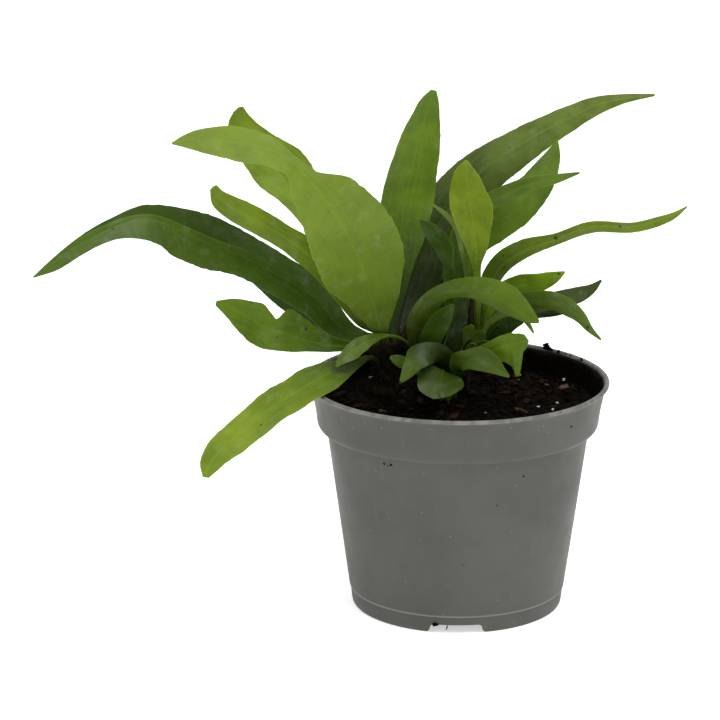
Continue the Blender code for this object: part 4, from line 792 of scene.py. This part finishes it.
def tube_faces(rings, sides):
    """Faces of a closed tube: round its rings of points and over both ends."""
    faces = []
    for ring in range(rings - 1):
        first, second = ring * sides, (ring + 1) * sides
        for corner in range(sides):
            after = (corner + 1) % sides
            faces.append((first + corner, first + after, second + after, second + corner))
    faces.append(tuple(reversed(range(sides))))
    faces.append(tuple((rings - 1) * sides + corner for corner in range(sides)))
    return faces


def toward(heading):
    """The level unit vector toward a heading."""
    return Vector((math.cos(heading), math.sin(heading), 0.0))


def belongs(obj, slot, *nodes):
    """Let a piece ride on the part and stand for the nodes that it replaces."""
    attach(obj, "root")
    if nodes:
        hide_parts(*nodes)
    return obj


def hermite(knots, values, at):
    """A smooth curve through values at knots, read at a place between them."""
    last = len(knots) - 1
    span = next((i for i in range(last) if at <= knots[i + 1]), last - 1)

    def slope(i):
        if i == 0:
            return (values[1] - values[0]) / (knots[1] - knots[0])
        if i == last:
            return (values[last] - values[last - 1]) / (knots[last] - knots[last - 1])
        before, after = knots[i] - knots[i - 1], knots[i + 1] - knots[i]
        back = (values[i] - values[i - 1]) / before
        ahead = (values[i + 1] - values[i]) / after
        return (back * after + ahead * before) / (before + after)

    width = knots[span + 1] - knots[span]
    t = (at - knots[span]) / width
    return (values[span] * (2 * t ** 3 - 3 * t ** 2 + 1) + slope(span) * width * (t ** 3 - 2 * t ** 2 + t)
            + values[span + 1] * (3 * t ** 2 - 2 * t ** 3) + slope(span + 1) * width * (t ** 3 - t ** 2))


def frond_lines(frond):
    """The midrib and both edges of a frond at its stations, and how far along each station lies."""
    stem = [(*point, STEM_HALF_WIDTH, STEM_HALF_WIDTH, 0.0) for point in frond.rise]
    stations = stem + list(frond.stations)
    middle = [Vector(station[:3]) for station in stations]
    knots = [0.0]
    for first, second in zip(middle, middle[1:]):
        knots.append(knots[-1] + (second - first).length)
    left, right = [], []
    flat = None
    for index, (*_, left_width, right_width, turn) in enumerate(stations):
        before, after = middle[max(index - 1, 0)], middle[min(index + 1, len(middle) - 1)]
        if index < 2:
            before, after = middle[0], middle[1]
        along = (after - before).normalized()
        previous, flat = flat, along.cross(VIEW).normalized()
        if previous is not None and flat.dot(previous) < -0.5:
            flat.negate()
        deep = along.cross(flat)
        angle = math.radians(turn)
        side = flat * math.cos(angle) + deep * math.sin(angle)
        lift = along.cross(side) * frond.cup
        left.append(middle[index] + (side + lift) * left_width)
        right.append(middle[index] + (lift - side) * right_width)
    return knots, middle, left, right


def blade_row(frond, lines, at, columns, seed):
    """Top and bottom points of a frond across its width at one place, with what each point is told."""
    knots, middle, left, right = lines
    center, left_edge, right_edge = (hermite(knots, line, at) for line in (middle, left, right))
    step = 0.5
    low, high = max(at - step, knots[0]), min(at + step, knots[-1])
    along = (hermite(knots, middle, high) - hermite(knots, middle, low)).normalized()
    across = (left_edge - right_edge).normalized()
    normal = along.cross(across).normalized()
    width = (left_edge - right_edge).length / 2
    share_along = at / knots[-1]
    leafy = min(max((width - STEM_HALF_WIDTH) / 2.0, 0.0), 1.0)
    if share_along > LEAFY_FROM:
        leafy = 1.0
    thickness = STEM_THICKNESS + (BLADE_THICKNESS - STEM_THICKNESS) * leafy
    edge = STEM_EDGE + (EDGE_THICKNESS - STEM_EDGE) * leafy
    ripple = RIPPLE_SHARE * frond.ripple * min(width / WIDE_BLADE, 1.0) * leafy
    top, bottom, told = [], [], []
    for column in range(columns + 1):
        share = math.cos(math.pi * column / columns)
        side = left_edge if share > 0 else right_edge
        reach = abs(share)
        arm = side - center
        fray = 1.0 + FRAY * leafy * noise.noise(Vector((at / FRAY_LENGTH, seed, share > 0)))
        reach_out = reach * (1.0 + (fray - 1.0) * reach ** 3)
        droop = normal * (arm.dot(normal) * (reach - reach ** 2))
        point = center + arm * reach_out - droop
        phase = math.tau * at / RIPPLE_LENGTH + (0.0 if share > 0 else RIPPLE_OFFSET)
        spread = Vector((share * width / PUCKER_WIDTH, at / PUCKER_LENGTH, seed))
        pucker = PUCKER * leafy * noise.noise(spread)
        point = point + normal * (ripple * math.sin(phase) * reach ** 2 + pucker)
        half = (edge + (thickness - edge) * math.sqrt(max(1.0 - reach ** 2, 0.0))) / 2
        off_rib = reach * arm.length
        rib = RIB_HEIGHT * leafy * min(2 * width / WIDE_BLADE, 1.0) * math.exp(-(off_rib / RIB_WIDTH) ** 2)
        groove = GROOVE_SHARE * rib
        upper, lower = (rib, -groove) if frond.face < 0 else (-groove, rib)
        top.append((point + normal * (half + upper)) * MM)
        bottom.append((point - normal * (half + lower)) * MM)
        told.append((at, share * width, share_along, (1.0 - reach) * arm.length))
    return top, bottom, told


def blade_geometry(frond, spacing, columns, seed):
    """Points, faces and point values of a fine closed blade."""
    lines = frond_lines(frond)
    length = lines[0][-1]
    rows = max(6, int(length / spacing))
    verts, faces, told = [], [], []
    count = columns + 1
    for row in range(rows + 1):
        share = row / rows
        at = length * (share if share < 0.9 else 0.9 + 0.1 * math.sin((share - 0.9) / 0.1 * math.pi / 2))
        top, bottom, facts = blade_row(frond, lines, at, columns, seed)
        verts += top + bottom
        told += facts + facts
    for row in range(rows):
        here, after = row * 2 * count, (row + 1) * 2 * count
        for column in range(columns):
            a, b = here + column, here + column + 1
            c, d = after + column, after + column + 1
            faces.append((a, c, d, b))
            faces.append((a + count, b + count, d + count, c + count))
        faces.append((here, here + count, after + count, after))
        last = columns
        faces.append((here + last, after + last, after + last + count, here + last + count))
    for start in (0, rows * 2 * count):
        upper = tuple(start + i for i in range(count))
        faces.append(upper + tuple(start + count + i for i in reversed(range(count))))
    names = ("along_mm", "across_mm", "share", "edge_mm")
    values = {name: [facts[i] for facts in told] for i, name in enumerate(names)}
    return verts, faces, values


def spot_places(frond, spots):
    """Places of the brown spots in millimetres along and across a frond."""
    knots, _, left, right = frond_lines(frond)
    placed = []
    for share, side, radius in spots:
        at = share * knots[-1]
        width = (hermite(knots, left, at) - hermite(knots, right, at)).length / 2
        placed.append((at, side * width, radius))
    return placed


def build_fronds():
    """A fine blade for each frond."""
    for index, (name, frond) in enumerate(FRONDS.items()):
        widest = max(station[3] + station[4] for station in frond.stations)
        columns = COLUMNS if widest < 12 else COLUMNS + 8
        verts, faces, values = blade_geometry(frond, ROW_SPACING, columns, index * 7.3)
        # The lightness factor is partly each frond's own tone and partly painted light and shade
        tone, light, foot_shade_reach = LOOKS.get(name, (None, 1.0, FOOT_SHADE_REACH))
        low, high, gloss = TONES[tone or frond.tone]
        spots = spot_places(frond, SPOTS.get(name, []))
        material = leaf_material(
            f"{name}_leaf", scaled(low, light), scaled(high, light), gloss, spots, index * 13.7,
            foot_shade_reach, PAINTED_SHADE_STRETCHES.get(name), FOLD_SHADE_STRIPS.get(name))
        obj = put_mesh(f"{name}_blade", verts, faces, material, values)
        belongs(obj, f"{name}_green", name)


def build_juveniles():
    """The tuft of tiny young leaves."""
    low, high, gloss = TONES["deep"]
    material = leaf_material("juvenile_leaf", low, high, gloss, [], 3.0)
    for index, (x, y, z, half_width) in enumerate(JUVENILES):
        lean = Vector((x - JUVENILE_MIDDLE[0], y - JUVENILE_MIDDLE[1], 0.0)) * JUVENILE_SPREAD
        foot = Vector((*JUVENILE_PLACE, SOIL_LEVEL - 2.0)) + lean
        rise = foot + Vector((0.0, 0.0, 6.0))
        reach = Vector((x, y, z)) - rise
        stations = []
        for share, width in JUVENILE_OUTLINE:
            bow = Vector((reach.x * share ** 1.4, reach.y * share ** 1.4, reach.z * share))
            half = max(width * half_width, 0.6)
            stations.append((*(rise + bow), half, half, 0.0))
        frond = Frond([tuple(foot), tuple(rise)], "fresh", 1, 0.12, 0.2, stations)
        verts, faces, values = blade_geometry(frond, 0.8, 10, 50.0 + index)
        obj = put_mesh(f"juvenile_leaf_{index}", verts, faces, material, values)
        belongs(obj, "juvenile_green", *(["juvenile_tuft"] if index == 0 else []))


def near_rim(level, *offsets):
    """Profile points by how far they lie inside the rim's radius and above a level."""
    return [(RIM_RADIUS - back, level + up) for back, up in offsets]


def pot_profile():
    """Profile of the pot shell with its rounded corners, and which stretch of it each point is on."""
    wall_top = POT_HEIGHT - COLLAR_DEPTH
    slope = (WALL_TOP_RADIUS - FOOT_RADIUS - 1.0) / (wall_top - 7.0)
    inner = WALL_TOP_RADIUS - WALL_THICKNESS
    lip = near_rim(POT_HEIGHT, (1.9, -0.8), (1.6, -0.25), (1.1, 0.0), (0.5, 0.0), (0.0, -0.3), (-0.2, -0.8),
                   (-0.1, -1.2), (0.4, -1.6), (0.9, -1.9))
    outside = near_rim(POT_HEIGHT, (1.3, -3.0), (1.9, -5.0), (2.5, -8.0), (3.1, -11.0), (3.5, -14.0))
    outside += near_rim(wall_top, (3.8, 2.3), (4.0, 1.4), (4.3, 0.8), (4.8, 0.2), (5.3, 0.0))
    shoulder = ((0.5, 0.0), (0.15, 0.2), (0.0, 0.6))
    outside += [(WALL_TOP_RADIUS + out, wall_top - down) for out, down in shoulder]
    outside += [(WALL_TOP_RADIUS - slope * drop, wall_top - drop) for drop in range(5, 66, 5)]
    foot = ((1.0, 7.2), (0.85, 6.9), (0.6, 6.7), (0.4, 4.5), (0.1, 1.6), (-0.1, 0.8), (-0.4, 0.25),
            (-0.9, 0.0))
    outside += [(FOOT_RADIUS + out, height) for out, height in foot]
    underside = [
        (FOOT_RADIUS - 2.2, 0.0), (FOOT_RADIUS - 2.4, 0.3), (FOOT_RADIUS - 2.7, FLOOR_UNDERSIDE - 0.3),
        (FOOT_RADIUS - 3.0, FLOOR_UNDERSIDE), (30.0, FLOOR_UNDERSIDE), (20.0, FLOOR_UNDERSIDE),
        (PAD_RADIUS + 0.8, FLOOR_UNDERSIDE), (PAD_RADIUS + 0.1, 0.2), (PAD_RADIUS - 0.2, 0.0), (0.0, 0.0),
    ]
    inside = [
        (0.0, FLOOR_TOP), (20.0, FLOOR_TOP), (FOOT_RADIUS - 1.2, FLOOR_TOP), (FOOT_RADIUS - 0.2, 6.0),
        (inner, wall_top - 1.0), (inner + 0.6, wall_top + 1.2),
    ]
    inside += near_rim(wall_top, (5.6, 1.6), (5.0, 2.8))
    inside += near_rim(POT_HEIGHT, (4.6, -13.0), (4.2, -9.5), (3.6, -6.5), (2.9, -3.5), (2.3, -1.8))
    points = lip + outside + underside + inside
    return points, len(lip), len(lip) + len(outside) + len(underside)


def notch_cutter(heading):
    """A block to cut a notch with, flared at the floor and rounded at its top corners."""
    half, reach = NOTCH_WIDTH / 2, 4.5
    side = [
        (half + 1.9, -1.0), (half + 1.5, 0.0), (half + 0.6, 0.5), (half, 1.3),
        (half - 0.3, NOTCH_HEIGHT - 0.9), (half - 0.8, NOTCH_HEIGHT - 0.25), (half - 1.6, NOTCH_HEIGHT),
    ]
    outline = side + [(-across, height) for across, height in reversed(side)]
    along = toward(heading)
    aside = Vector((-along.y, along.x, 0.0))
    verts = []
    for radius in (FOOT_RADIUS - reach, FOOT_RADIUS + reach):
        for across, height in outline:
            verts.append((along * radius + aside * across + Vector((0.0, 0.0, height))) * MM)
    count = len(outline)
    faces = [tuple(reversed(range(count))), tuple(range(count, 2 * count))]
    for index in range(count):
        after = (index + 1) % count
        faces.append((index, after, count + after, count + index))
    mesh = bpy.data.meshes.new("notch")
    mesh.from_pydata([tuple(vert) for vert in verts], [], faces)
    turn_outward(mesh)
    return mesh


def drain_cutter(angle):
    """A round block to cut a drain hole with."""
    bm = bmesh.new()
    bmesh.ops.create_cone(
        bm, cap_ends=True, segments=32, radius1=DRAIN_RADIUS * MM, radius2=DRAIN_RADIUS * MM,
        depth=8.0 * MM)
    middle = (DRAIN_CIRCLE * MM * math.cos(angle), DRAIN_CIRCLE * MM * math.sin(angle), 5.0 * MM)
    bmesh.ops.translate(bm, vec=middle, verts=bm.verts)
    mesh = bpy.data.meshes.new("drain")
    bm.to_mesh(mesh)
    bm.free()
    return mesh


def build_pot():
    """The pot shell with its lip, collar, foot band, notches and drain holes."""
    points, lip_count, inner_start = pot_profile()
    verts, faces, lip, inside, band = [], [], [], [], []
    for index, (radius, height) in enumerate(points):
        for step in range(POT_STEPS):
            angle = math.tau * step / POT_STEPS
            around = Vector((math.cos(angle) * 2, math.sin(angle) * 2, height / 40.0))
            sway = 1.0 + 0.0012 * noise.noise(around)
            reach = radius * sway * MM
            verts.append((reach * math.cos(angle), reach * math.sin(angle), height * MM))
            lip.append(1.0 if index < lip_count - 2 else 0.0)
            inside.append(1.0 if index >= inner_start or index == 0 else 0.0)
            band.append(1.0 if abs(height - BAND_HEIGHT) < 0.25 and radius > FOOT_RADIUS else 0.0)
    count = len(points)
    for index in range(count):
        below = (index + 1) % count
        if points[index][0] == 0.0 and points[below][0] == 0.0:
            continue
        faces += ring_faces(index * POT_STEPS, below * POT_STEPS, POT_STEPS)
    values = {"lip": lip, "inside": inside, "band": band}
    pot = put_mesh("pot_shell", verts, faces, plastic_material(), values)
    turn_outward(pot.data, weld=True)
    openings = bpy.data.collections.new("pot_openings")
    for index in range(NOTCH_COUNT):
        heading = -math.pi / 2 + index * math.tau / NOTCH_COUNT
        openings.objects.link(bpy.data.objects.new(f"notch_{index}", notch_cutter(heading)))
    for index in range(DRAIN_COUNT):
        angle = (index + 0.5) * math.tau / DRAIN_COUNT
        openings.objects.link(bpy.data.objects.new(f"drain_{index}", drain_cutter(angle)))
    cut = pot.modifiers.new("cut", "BOOLEAN")
    cut.operation = "DIFFERENCE"
    cut.operand_type = "COLLECTION"
    cut.collection = openings
    cut.solver = "EXACT"
    graph = bpy.context.evaluated_depsgraph_get()
    mesh = bpy.data.meshes.new_from_object(pot.evaluated_get(graph))
    pot.modifiers.clear()
    pot.data = mesh
    mesh.shade_smooth()
    mesh.set_sharp_from_angle(angle=math.radians(40))
    for cutter in list(openings.objects):
        bpy.data.objects.remove(cutter, do_unlink=True)
    bpy.data.collections.remove(openings)
    belongs(pot, "grey_plastic", "pot")


def soil_height(x, y):
    """Height of the crumbly soil at a place, in millimetres."""
    coarse = noise.noise(Vector((x, y, 3.0)) / BUMP_SIZE)
    coarse += 0.6 * noise.noise(Vector((x, y, 9.0)) / (BUMP_SIZE / 2))
    lumps = abs(noise.noise(Vector((x, y, 4.0)) / LUMP_SIZE)) * LUMP_HEIGHT
    grit = noise.noise(Vector((x, y, 6.0)) / GRIT_SIZE) * GRIT_HEIGHT
    return SOIL_LEVEL + SOIL_BUMP * coarse + lumps + grit - SOIL_SINK


def place_on_soil(dice, margin):
    """A random place on the soil, further in than the rim by a margin."""
    radius = (RIM_RADIUS - margin) * math.sqrt(dice.random())
    angle = dice.uniform(0, math.tau)
    return radius * math.cos(angle), radius * math.sin(angle)


def build_soil(material):
    """The soil body: a finely broken top and a plain side down to the pot's floor."""
    wall_top = POT_HEIGHT - COLLAR_DEPTH
    edge = RIM_RADIUS - 4.6
    verts = [(0.0, 0.0, soil_height(0.0, 0.0) * MM)]
    faces = []
    rings = [(edge * ring / SOIL_RINGS, None) for ring in range(1, SOIL_RINGS + 1)]
    rings += [
        (RIM_RADIUS - 5.6, wall_top + 3.6), (WALL_TOP_RADIUS - WALL_THICKNESS - 0.3, wall_top + 0.8),
        (WALL_TOP_RADIUS - WALL_THICKNESS - 0.6, wall_top - 2.0), (FOOT_RADIUS - 0.8, 6.4),
        (FOOT_RADIUS - 2.0, FLOOR_TOP + 0.3),
    ]
    for index, (radius, level) in enumerate(rings):
        for step in range(SOIL_STEPS):
            angle = math.tau * step / SOIL_STEPS
            x, y = radius * math.cos(angle), radius * math.sin(angle)
            z = soil_height(x, y) if level is None else level
            verts.append((x * MM, y * MM, z * MM))
        start = 1 + index * SOIL_STEPS
        if index == 0:
            faces += [(0, start + step, start + (step + 1) % SOIL_STEPS) for step in range(SOIL_STEPS)]
        else:
            faces += ring_faces(start - SOIL_STEPS, start, SOIL_STEPS)
    start = 1 + (len(rings) - 1) * SOIL_STEPS
    faces.append(tuple(start + step for step in reversed(range(SOIL_STEPS))))
    soil = put_mesh("soil_body", verts, faces, material, {"tint": [0.0] * len(verts)})
    belongs(soil, "dark_soil", "soil")


def lump(dice, center, size, heading, detail):
    """Points and faces of one irregular lump; center and size are in millimetres."""
    bm = bmesh.new()
    bmesh.ops.create_icosphere(bm, subdivisions=detail, radius=1.0)
    shift = Vector((dice.uniform(0, 99), dice.uniform(0, 99), 0.0))
    for vert in bm.verts:
        vert.co *= 1.0 + 0.45 * noise.noise(vert.co * 1.6 + shift)
    turn, tilt = math.radians(heading), dice.uniform(-0.5, 0.5)
    verts, faces = [], [tuple(vert.index for vert in face.verts) for face in bm.faces]
    for vert in bm.verts:
        x, y, z = vert.co.x * size[0] / 2, vert.co.y * size[1] / 2, vert.co.z * size[2] / 2
        x, z = x * math.cos(tilt) - z * math.sin(tilt), x * math.sin(tilt) + z * math.cos(tilt)
        x, y = x * math.cos(turn) - y * math.sin(turn), x * math.sin(turn) + y * math.cos(turn)
        verts.append(((center[0] + x) * MM, (center[1] + y) * MM, (center[2] + z) * MM))
    bm.free()
    return verts, faces


def join_lumps(name, lumps, tints, material, slot):
    """Many lumps as one piece, each with its own tint."""
    verts, faces, values = [], [], []
    for (points, corners), tint in zip(lumps, tints):
        start = len(verts)
        verts += points
        values += [tint] * len(points)
        faces += [tuple(start + corner for corner in face) for face in corners]
    obj = put_mesh(name, verts, faces, material, {"tint": values})
    obj.data.set_sharp_from_angle(angle=math.radians(35))
    return belongs(obj, slot)


def build_crumbs(soil_look, chip_looks):
    """Crumbs, chips, perlite and fibres that lie on the soil."""
    dice = random.Random(11)
    lumps, tints = [], []
    for _ in range(CRUMB_COUNT):
        x, y = place_on_soil(dice, 6.0)
        size = 0.5 + 2.3 * dice.random() ** 2.2
        shape = (size * dice.uniform(0.8, 1.6), size, size * dice.uniform(0.5, 0.9))
        center = (x, y, soil_height(x, y) + size * 0.12)
        lumps.append(lump(dice, center, shape, dice.uniform(0, 180), 2 if size > 1.5 else 1))
        tints.append(dice.random() ** 3 * 0.6)
    join_lumps("soil_crumbs", lumps, tints, soil_look, "dark_soil")
    for kind, look in chip_looks.items():
        chosen = [chip for chip in CHIPS if chip[6] == kind]
        lumps = []
        for x, y, length, width, height, heading, _ in chosen:
            center = (x, y, soil_height(x, y) + height * 0.15)
            lumps.append(lump(dice, center, (length, width, height), heading, 3))
        extra = EXTRA_CHIPS.get(kind, 0)
        for _ in range(extra):
            x, y = place_on_soil(dice, 7.0)
            size = dice.uniform(0.8, 1.5) if kind != "bark" else dice.uniform(1.5, 4.0)
            center = (x, y, soil_height(x, y) + 0.2)
            lumps.append(lump(dice, center, (size * 1.5, size, size * 0.6), dice.uniform(0, 180), 2))
        join_lumps(f"soil_{kind}", lumps, [dice.random() * 0.5 for _ in lumps], look, "dark_soil")


def strand(points, radius):
    """A thin round strand through points in millimetres, with pointed ends."""
    sides = 5
    verts = []
    for index, point in enumerate(points):
        before, after = points[max(index - 1, 0)], points[min(index + 1, len(points) - 1)]
        along = (after - before).normalized()
        side = along.cross(Vector((0.0, 0.0, 1.0)))
        side = side.normalized() if side.length > 0.01 else Vector((1.0, 0.0, 0.0))
        up = along.cross(side)
        share = index / (len(points) - 1)
        thick = radius * (0.35 + 0.65 * math.sin(math.pi * min(max(share, 0.04), 0.96)))
        for corner in range(sides):
            angle = math.tau * corner / sides
            verts.append(tuple((point + (side * math.cos(angle) + up * math.sin(angle)) * thick) * MM))
    return verts, tube_faces(len(points), sides)


def build_fibres(material):
    """Fine root and bark fibres that curl on the soil."""
    dice = random.Random(23)
    strands = []
    for _ in range(FIBRE_COUNT):
        x, y = place_on_soil(dice, 8.0)
        heading, bend = dice.uniform(0, math.tau), dice.uniform(-0.25, 0.25)
        points = []
        for step in range(9):
            if math.hypot(x, y) < RIM_RADIUS - 6.0:
                points.append(Vector((x, y, soil_height(x, y) + 0.35 + 0.5 * math.sin(step * 0.8))))
            x += math.cos(heading) * 0.9
            y += math.sin(heading) * 0.9
            heading += bend
        if len(points) > 3:
            strands.append(strand(points, dice.uniform(0.10, 0.26)))
    join_lumps("soil_fibres", strands, [dice.random() * 0.7 for _ in strands], material, "dark_soil")


def build_rhizome(material):
    """The short stump, its overlapping scales and the fuzz round its crown."""
    dice = random.Random(5)
    crown = ((0.0, 0.4), (3.6, 0.2), (5.6, 0.5), (6.4, 1.6))
    profile = [(radius, RHIZOME_TOP - down) for radius, down in crown]
    profile += [
        (6.0, 99.8), (5.2, 97.6), (4.4, 95.5), (4.1, 93.0), (3.9, 91.0), (4.0, 89.0), (4.2, 87.0),
        (4.7, 85.0), (5.2, 83.0), (5.2, 80.0), (4.9, 77.0), (0.0, 77.0),
    ]
    steps = 48
    verts, faces = [], []
    for radius, height in profile:
        for step in range(steps):
            angle = math.tau * step / steps
            around = Vector((math.cos(angle) * 2.4, math.sin(angle) * 2.4, height / 2.2))
            knob = 1.0 + 0.22 * noise.noise(around)
            verts.append(((RHIZOME_PLACE[0] + radius * knob * math.cos(angle)) * MM,
                          (RHIZOME_PLACE[1] + radius * knob * math.sin(angle)) * MM, height * MM))
    for row in range(len(profile) - 1):
        faces += ring_faces(row * steps, (row + 1) * steps, steps)
    stump = put_mesh("rhizome_stump", verts, faces, material, {"tint": [0.05] * len(verts)})
    turn_outward(stump.data, weld=True)
    belongs(stump, "rhizome_bark", "rhizome")
    scales = []
    for _ in range(SCALE_COUNT):
        height = dice.uniform(85.0, RHIZOME_TOP - 0.8)
        angle = dice.uniform(0, math.tau)
        radius = 3.9 + 2.3 * max(0.0, (height - 93.0) / 10.0) + 1.0 * max(0.0, (88.0 - height) / 4.0)
        outward = toward(angle)
        foot = Vector((*RHIZOME_PLACE, height)) + outward * (radius - 0.2)
        length = dice.uniform(1.6, 3.6)
        lean = outward * dice.uniform(0.25, 0.8)
        along = (lean + Vector((dice.uniform(-0.3, 0.3), dice.uniform(-0.3, 0.3), 1.0))).normalized()
        side = along.cross(outward).normalized()
        half = dice.uniform(0.25, 0.5)
        scales.append(scale_leaf(foot, along, side, outward, length, half))
    # Old stalks, and dark stalks that stand in for the shade deep in the cluster
    for stalk in OLD_STALKS_AND_SHADE_FILLERS:
        scales.append(strand([Vector(point) for point in stalk], OLD_STALK_RADIUS))
    join_lumps("rhizome_scales", scales, [dice.random() * 0.8 for _ in scales], material, "rhizome_bark")


def scale_leaf(foot, along, side, outward, length, half):
    """One thin pointed scale as a small closed blade."""
    verts = []
    outline = [(0.0, 0.7), (0.3, 1.0), (0.65, 0.7), (1.0, 0.08)]
    for share, width in outline:
        middle = foot + along * (length * share) + outward * (0.35 * share * share)
        for across, out in ((-1, 0.0), (0, 0.16), (1, 0.0), (0, -0.05)):
            verts.append(tuple((middle + side * (across * half * width) + outward * out) * MM))
    return verts, tube_faces(len(outline), 4)


def build_stuck_crumbs(material):
    """Crumbs of soil that cling to the rim and to the wall of the pot."""
    dice = random.Random(31)
    lumps = []
    for heading, height, size in STUCK:
        angle = math.radians(heading)
        radius = wall_radius(height) + 0.1
        center = (radius * math.cos(angle), radius * math.sin(angle), height)
        lumps.append(lump(dice, center, (size, size * 0.8, size * 0.7), dice.uniform(0, 180), 2))
    for heading, spread, tallest, count in RIM_CLUMPS:
        for _ in range(count):
            off = dice.uniform(-1.0, 1.0)
            angle = math.radians(heading + spread * off)
            height = POT_HEIGHT - 0.45 + tallest * (1.0 - off * off) * dice.random() ** 1.4
            radius = RIM_RADIUS - 1.1 + dice.uniform(-0.6, 0.5)
            center = (radius * math.cos(angle), radius * math.sin(angle), height)
            size = dice.uniform(0.35, 1.2)
            lumps.append(lump(dice, center, (size * 1.8, size * 0.8, size * 0.8), dice.uniform(0, 180), 2))
    heading, top, bottom = HANGING_ROOT
    outward = toward(math.radians(heading)) * (FOOT_RADIUS - 0.6)
    points = []
    for step in range(6):
        points.append(outward + Vector((0.15 * math.sin(step), 0.0, top + (bottom - top) * step / 5)))
    lumps.append(strand(points, 0.28))
    join_lumps("stuck_crumbs", lumps, [dice.random() * 0.2 for _ in lumps], material, "dark_soil")


def build_soil_film(material):
    """The film of soil that clings to the inside of the rim, with a ragged upper edge."""
    steps, rows, foot = 180, 7, SOIL_LEVEL - 1.5
    verts, faces = [], []
    for step in range(steps):
        round_trip = toward(math.tau * step / steps)
        top = FILM_TOP + FILM_FRAY * noise.noise(round_trip * 9.0) + 0.5 * noise.noise(round_trip * 40.0)
        for depth in (-FILM_DEPTH, 0.3):
            for row in range(rows):
                height = foot + (top - foot) * row / (rows - 1)
                wall = COLLAR_INSIDE + (height - COLLAR_MIDDLE) * COLLAR_SLOPE
                grain = 0.10 * noise.noise(Vector((round_trip.x * 30, round_trip.y * 30, height * 1.2)))
                radius = wall + depth + (grain if depth < 0 else 0.0)
                verts.append((radius * round_trip.x * MM, radius * round_trip.y * MM, height * MM))
    count = 2 * rows
    for step in range(steps):
        here, after = step * count, (step + 1) % steps * count
        for row in range(rows - 1):
            faces.append((here + row, after + row, after + row + 1, here + row + 1))
            low, next_low = here + rows + row, after + rows + row
            faces.append((low, low + 1, next_low + 1, next_low))
        faces.append((here, here + rows, after + rows, after))
        faces.append((here + rows - 1, after + rows - 1, after + count - 1, here + count - 1))
    film = put_mesh("soil_film", verts, faces, material, {"tint": [0.0] * len(verts)})
    belongs(film, "dark_soil")


def wall_radius(height):
    """Radius of the pot's outer surface at a height, or of its rim at the top."""
    wall_top = POT_HEIGHT - COLLAR_DEPTH
    if height >= POT_HEIGHT - 0.5:
        return RIM_RADIUS - 0.9
    if height > wall_top:
        return RIM_RADIUS - 1.9 - 2.0 * (POT_HEIGHT - 5.0 - height) / 13.0
    return FOOT_RADIUS + 1.0 + (WALL_TOP_RADIUS - FOOT_RADIUS - 1.0) * (height - 7.0) / (wall_top - 7.0)


def build_floor():
    """A plain white floor that glows a little, so that it stays white round the pot."""
    mesh = bpy.data.meshes.new("floor")
    size = 6.0
    corners = [(-size, -size, 0), (size, -size, 0), (size, size, 0), (-size, size, 0)]
    mesh.from_pydata(corners, [], [(0, 1, 2, 3)])
    floor = bpy.data.objects.new("floor", mesh)
    bpy.context.scene.collection.objects.link(floor)
    material, _, shader = start_material("pale_floor", 0.8, 0.2)
    shader.inputs["Base Color"].default_value = (0.93, 0.93, 0.93, 1.0)
    shader.inputs["Emission Color"].default_value = (1.0, 1.0, 1.0, 1.0)
    shader.inputs["Emission Strength"].default_value = FLOOR_GLOW
    mesh.materials.append(material)


def build_lights():
    """A surround that is bright above and dim at the sides, and two large soft lights."""
    world = bpy.data.worlds.new("studio")
    bpy.context.scene.world = world
    world.use_nodes = True
    tree = world.node_tree
    height = tree.nodes.new("ShaderNodeSeparateXYZ")
    tree.links.new(tree.nodes.new("ShaderNodeTexCoord").outputs["Generated"], height.inputs[0])
    background = tree.nodes["Background"]
    background.inputs["Color"].default_value = (1.0, 1.0, 1.0, 1.0)
    tree.links.new(ramp_value(tree, height.outputs[2], -0.1, 0.9, WORLD_LOW, WORLD_HIGH),
                   background.inputs["Strength"])
    for name, place, size, power in LIGHTS:
        data = bpy.data.lights.new(name, "AREA")
        data.energy = power
        data.size = size
        lamp = bpy.data.objects.new(name, data)
        lamp.location = place
        lamp.rotation_euler = (Vector((0.0, 0.0, 0.10)) - Vector(place)).to_track_quat("-Z", "Y").to_euler()
        bpy.context.scene.collection.objects.link(lamp)


def build_camera():
    """The camera at the photograph's viewing angle."""
    data = bpy.data.cameras.new("photo_view")
    data.sensor_width = 36.0
    data.lens = CAMERA_LENS
    camera = bpy.data.objects.new("photo_view", data)
    camera.location = CAMERA_PLACE
    camera.rotation_euler = (math.radians(90.0 - CAMERA_PITCH), 0.0, math.radians(CAMERA_YAW))
    bpy.context.scene.collection.objects.link(camera)
    bpy.context.scene.camera = camera


bpy.context.scene.view_settings.view_transform = "Standard"
bpy.context.scene.view_settings.look = "None"
build_pot()
soil_look = earth_material("potting_soil", (0.0012, 0.0008, 0.0006), (0.0060, 0.0040, 0.0026), 220.0)
build_soil(soil_look)
build_soil_film(soil_look)
build_crumbs(soil_look, {
    "perlite": earth_material("perlite", (0.30, 0.28, 0.25), (0.50, 0.48, 0.44), 300.0),
    "pink": earth_material("pinkish_bark", (0.040, 0.020, 0.014), (0.130, 0.080, 0.060), 200.0),
    "straw": earth_material("straw_chip", (0.022, 0.018, 0.005), (0.090, 0.078, 0.020), 200.0),
    "bark": earth_material("orange_bark", (0.006, 0.003, 0.002), (0.019, 0.009, 0.005), 160.0),
})
build_fibres(earth_material("fibres", (0.005, 0.003, 0.002), (0.020, 0.012, 0.008), 200.0))
build_stuck_crumbs(soil_look)
build_rhizome(earth_material("rhizome_scales", (0.008, 0.006, 0.003), (0.024, 0.016, 0.008), 260.0))
build_fronds()
build_juveniles()
build_floor()
build_lights()
build_camera()
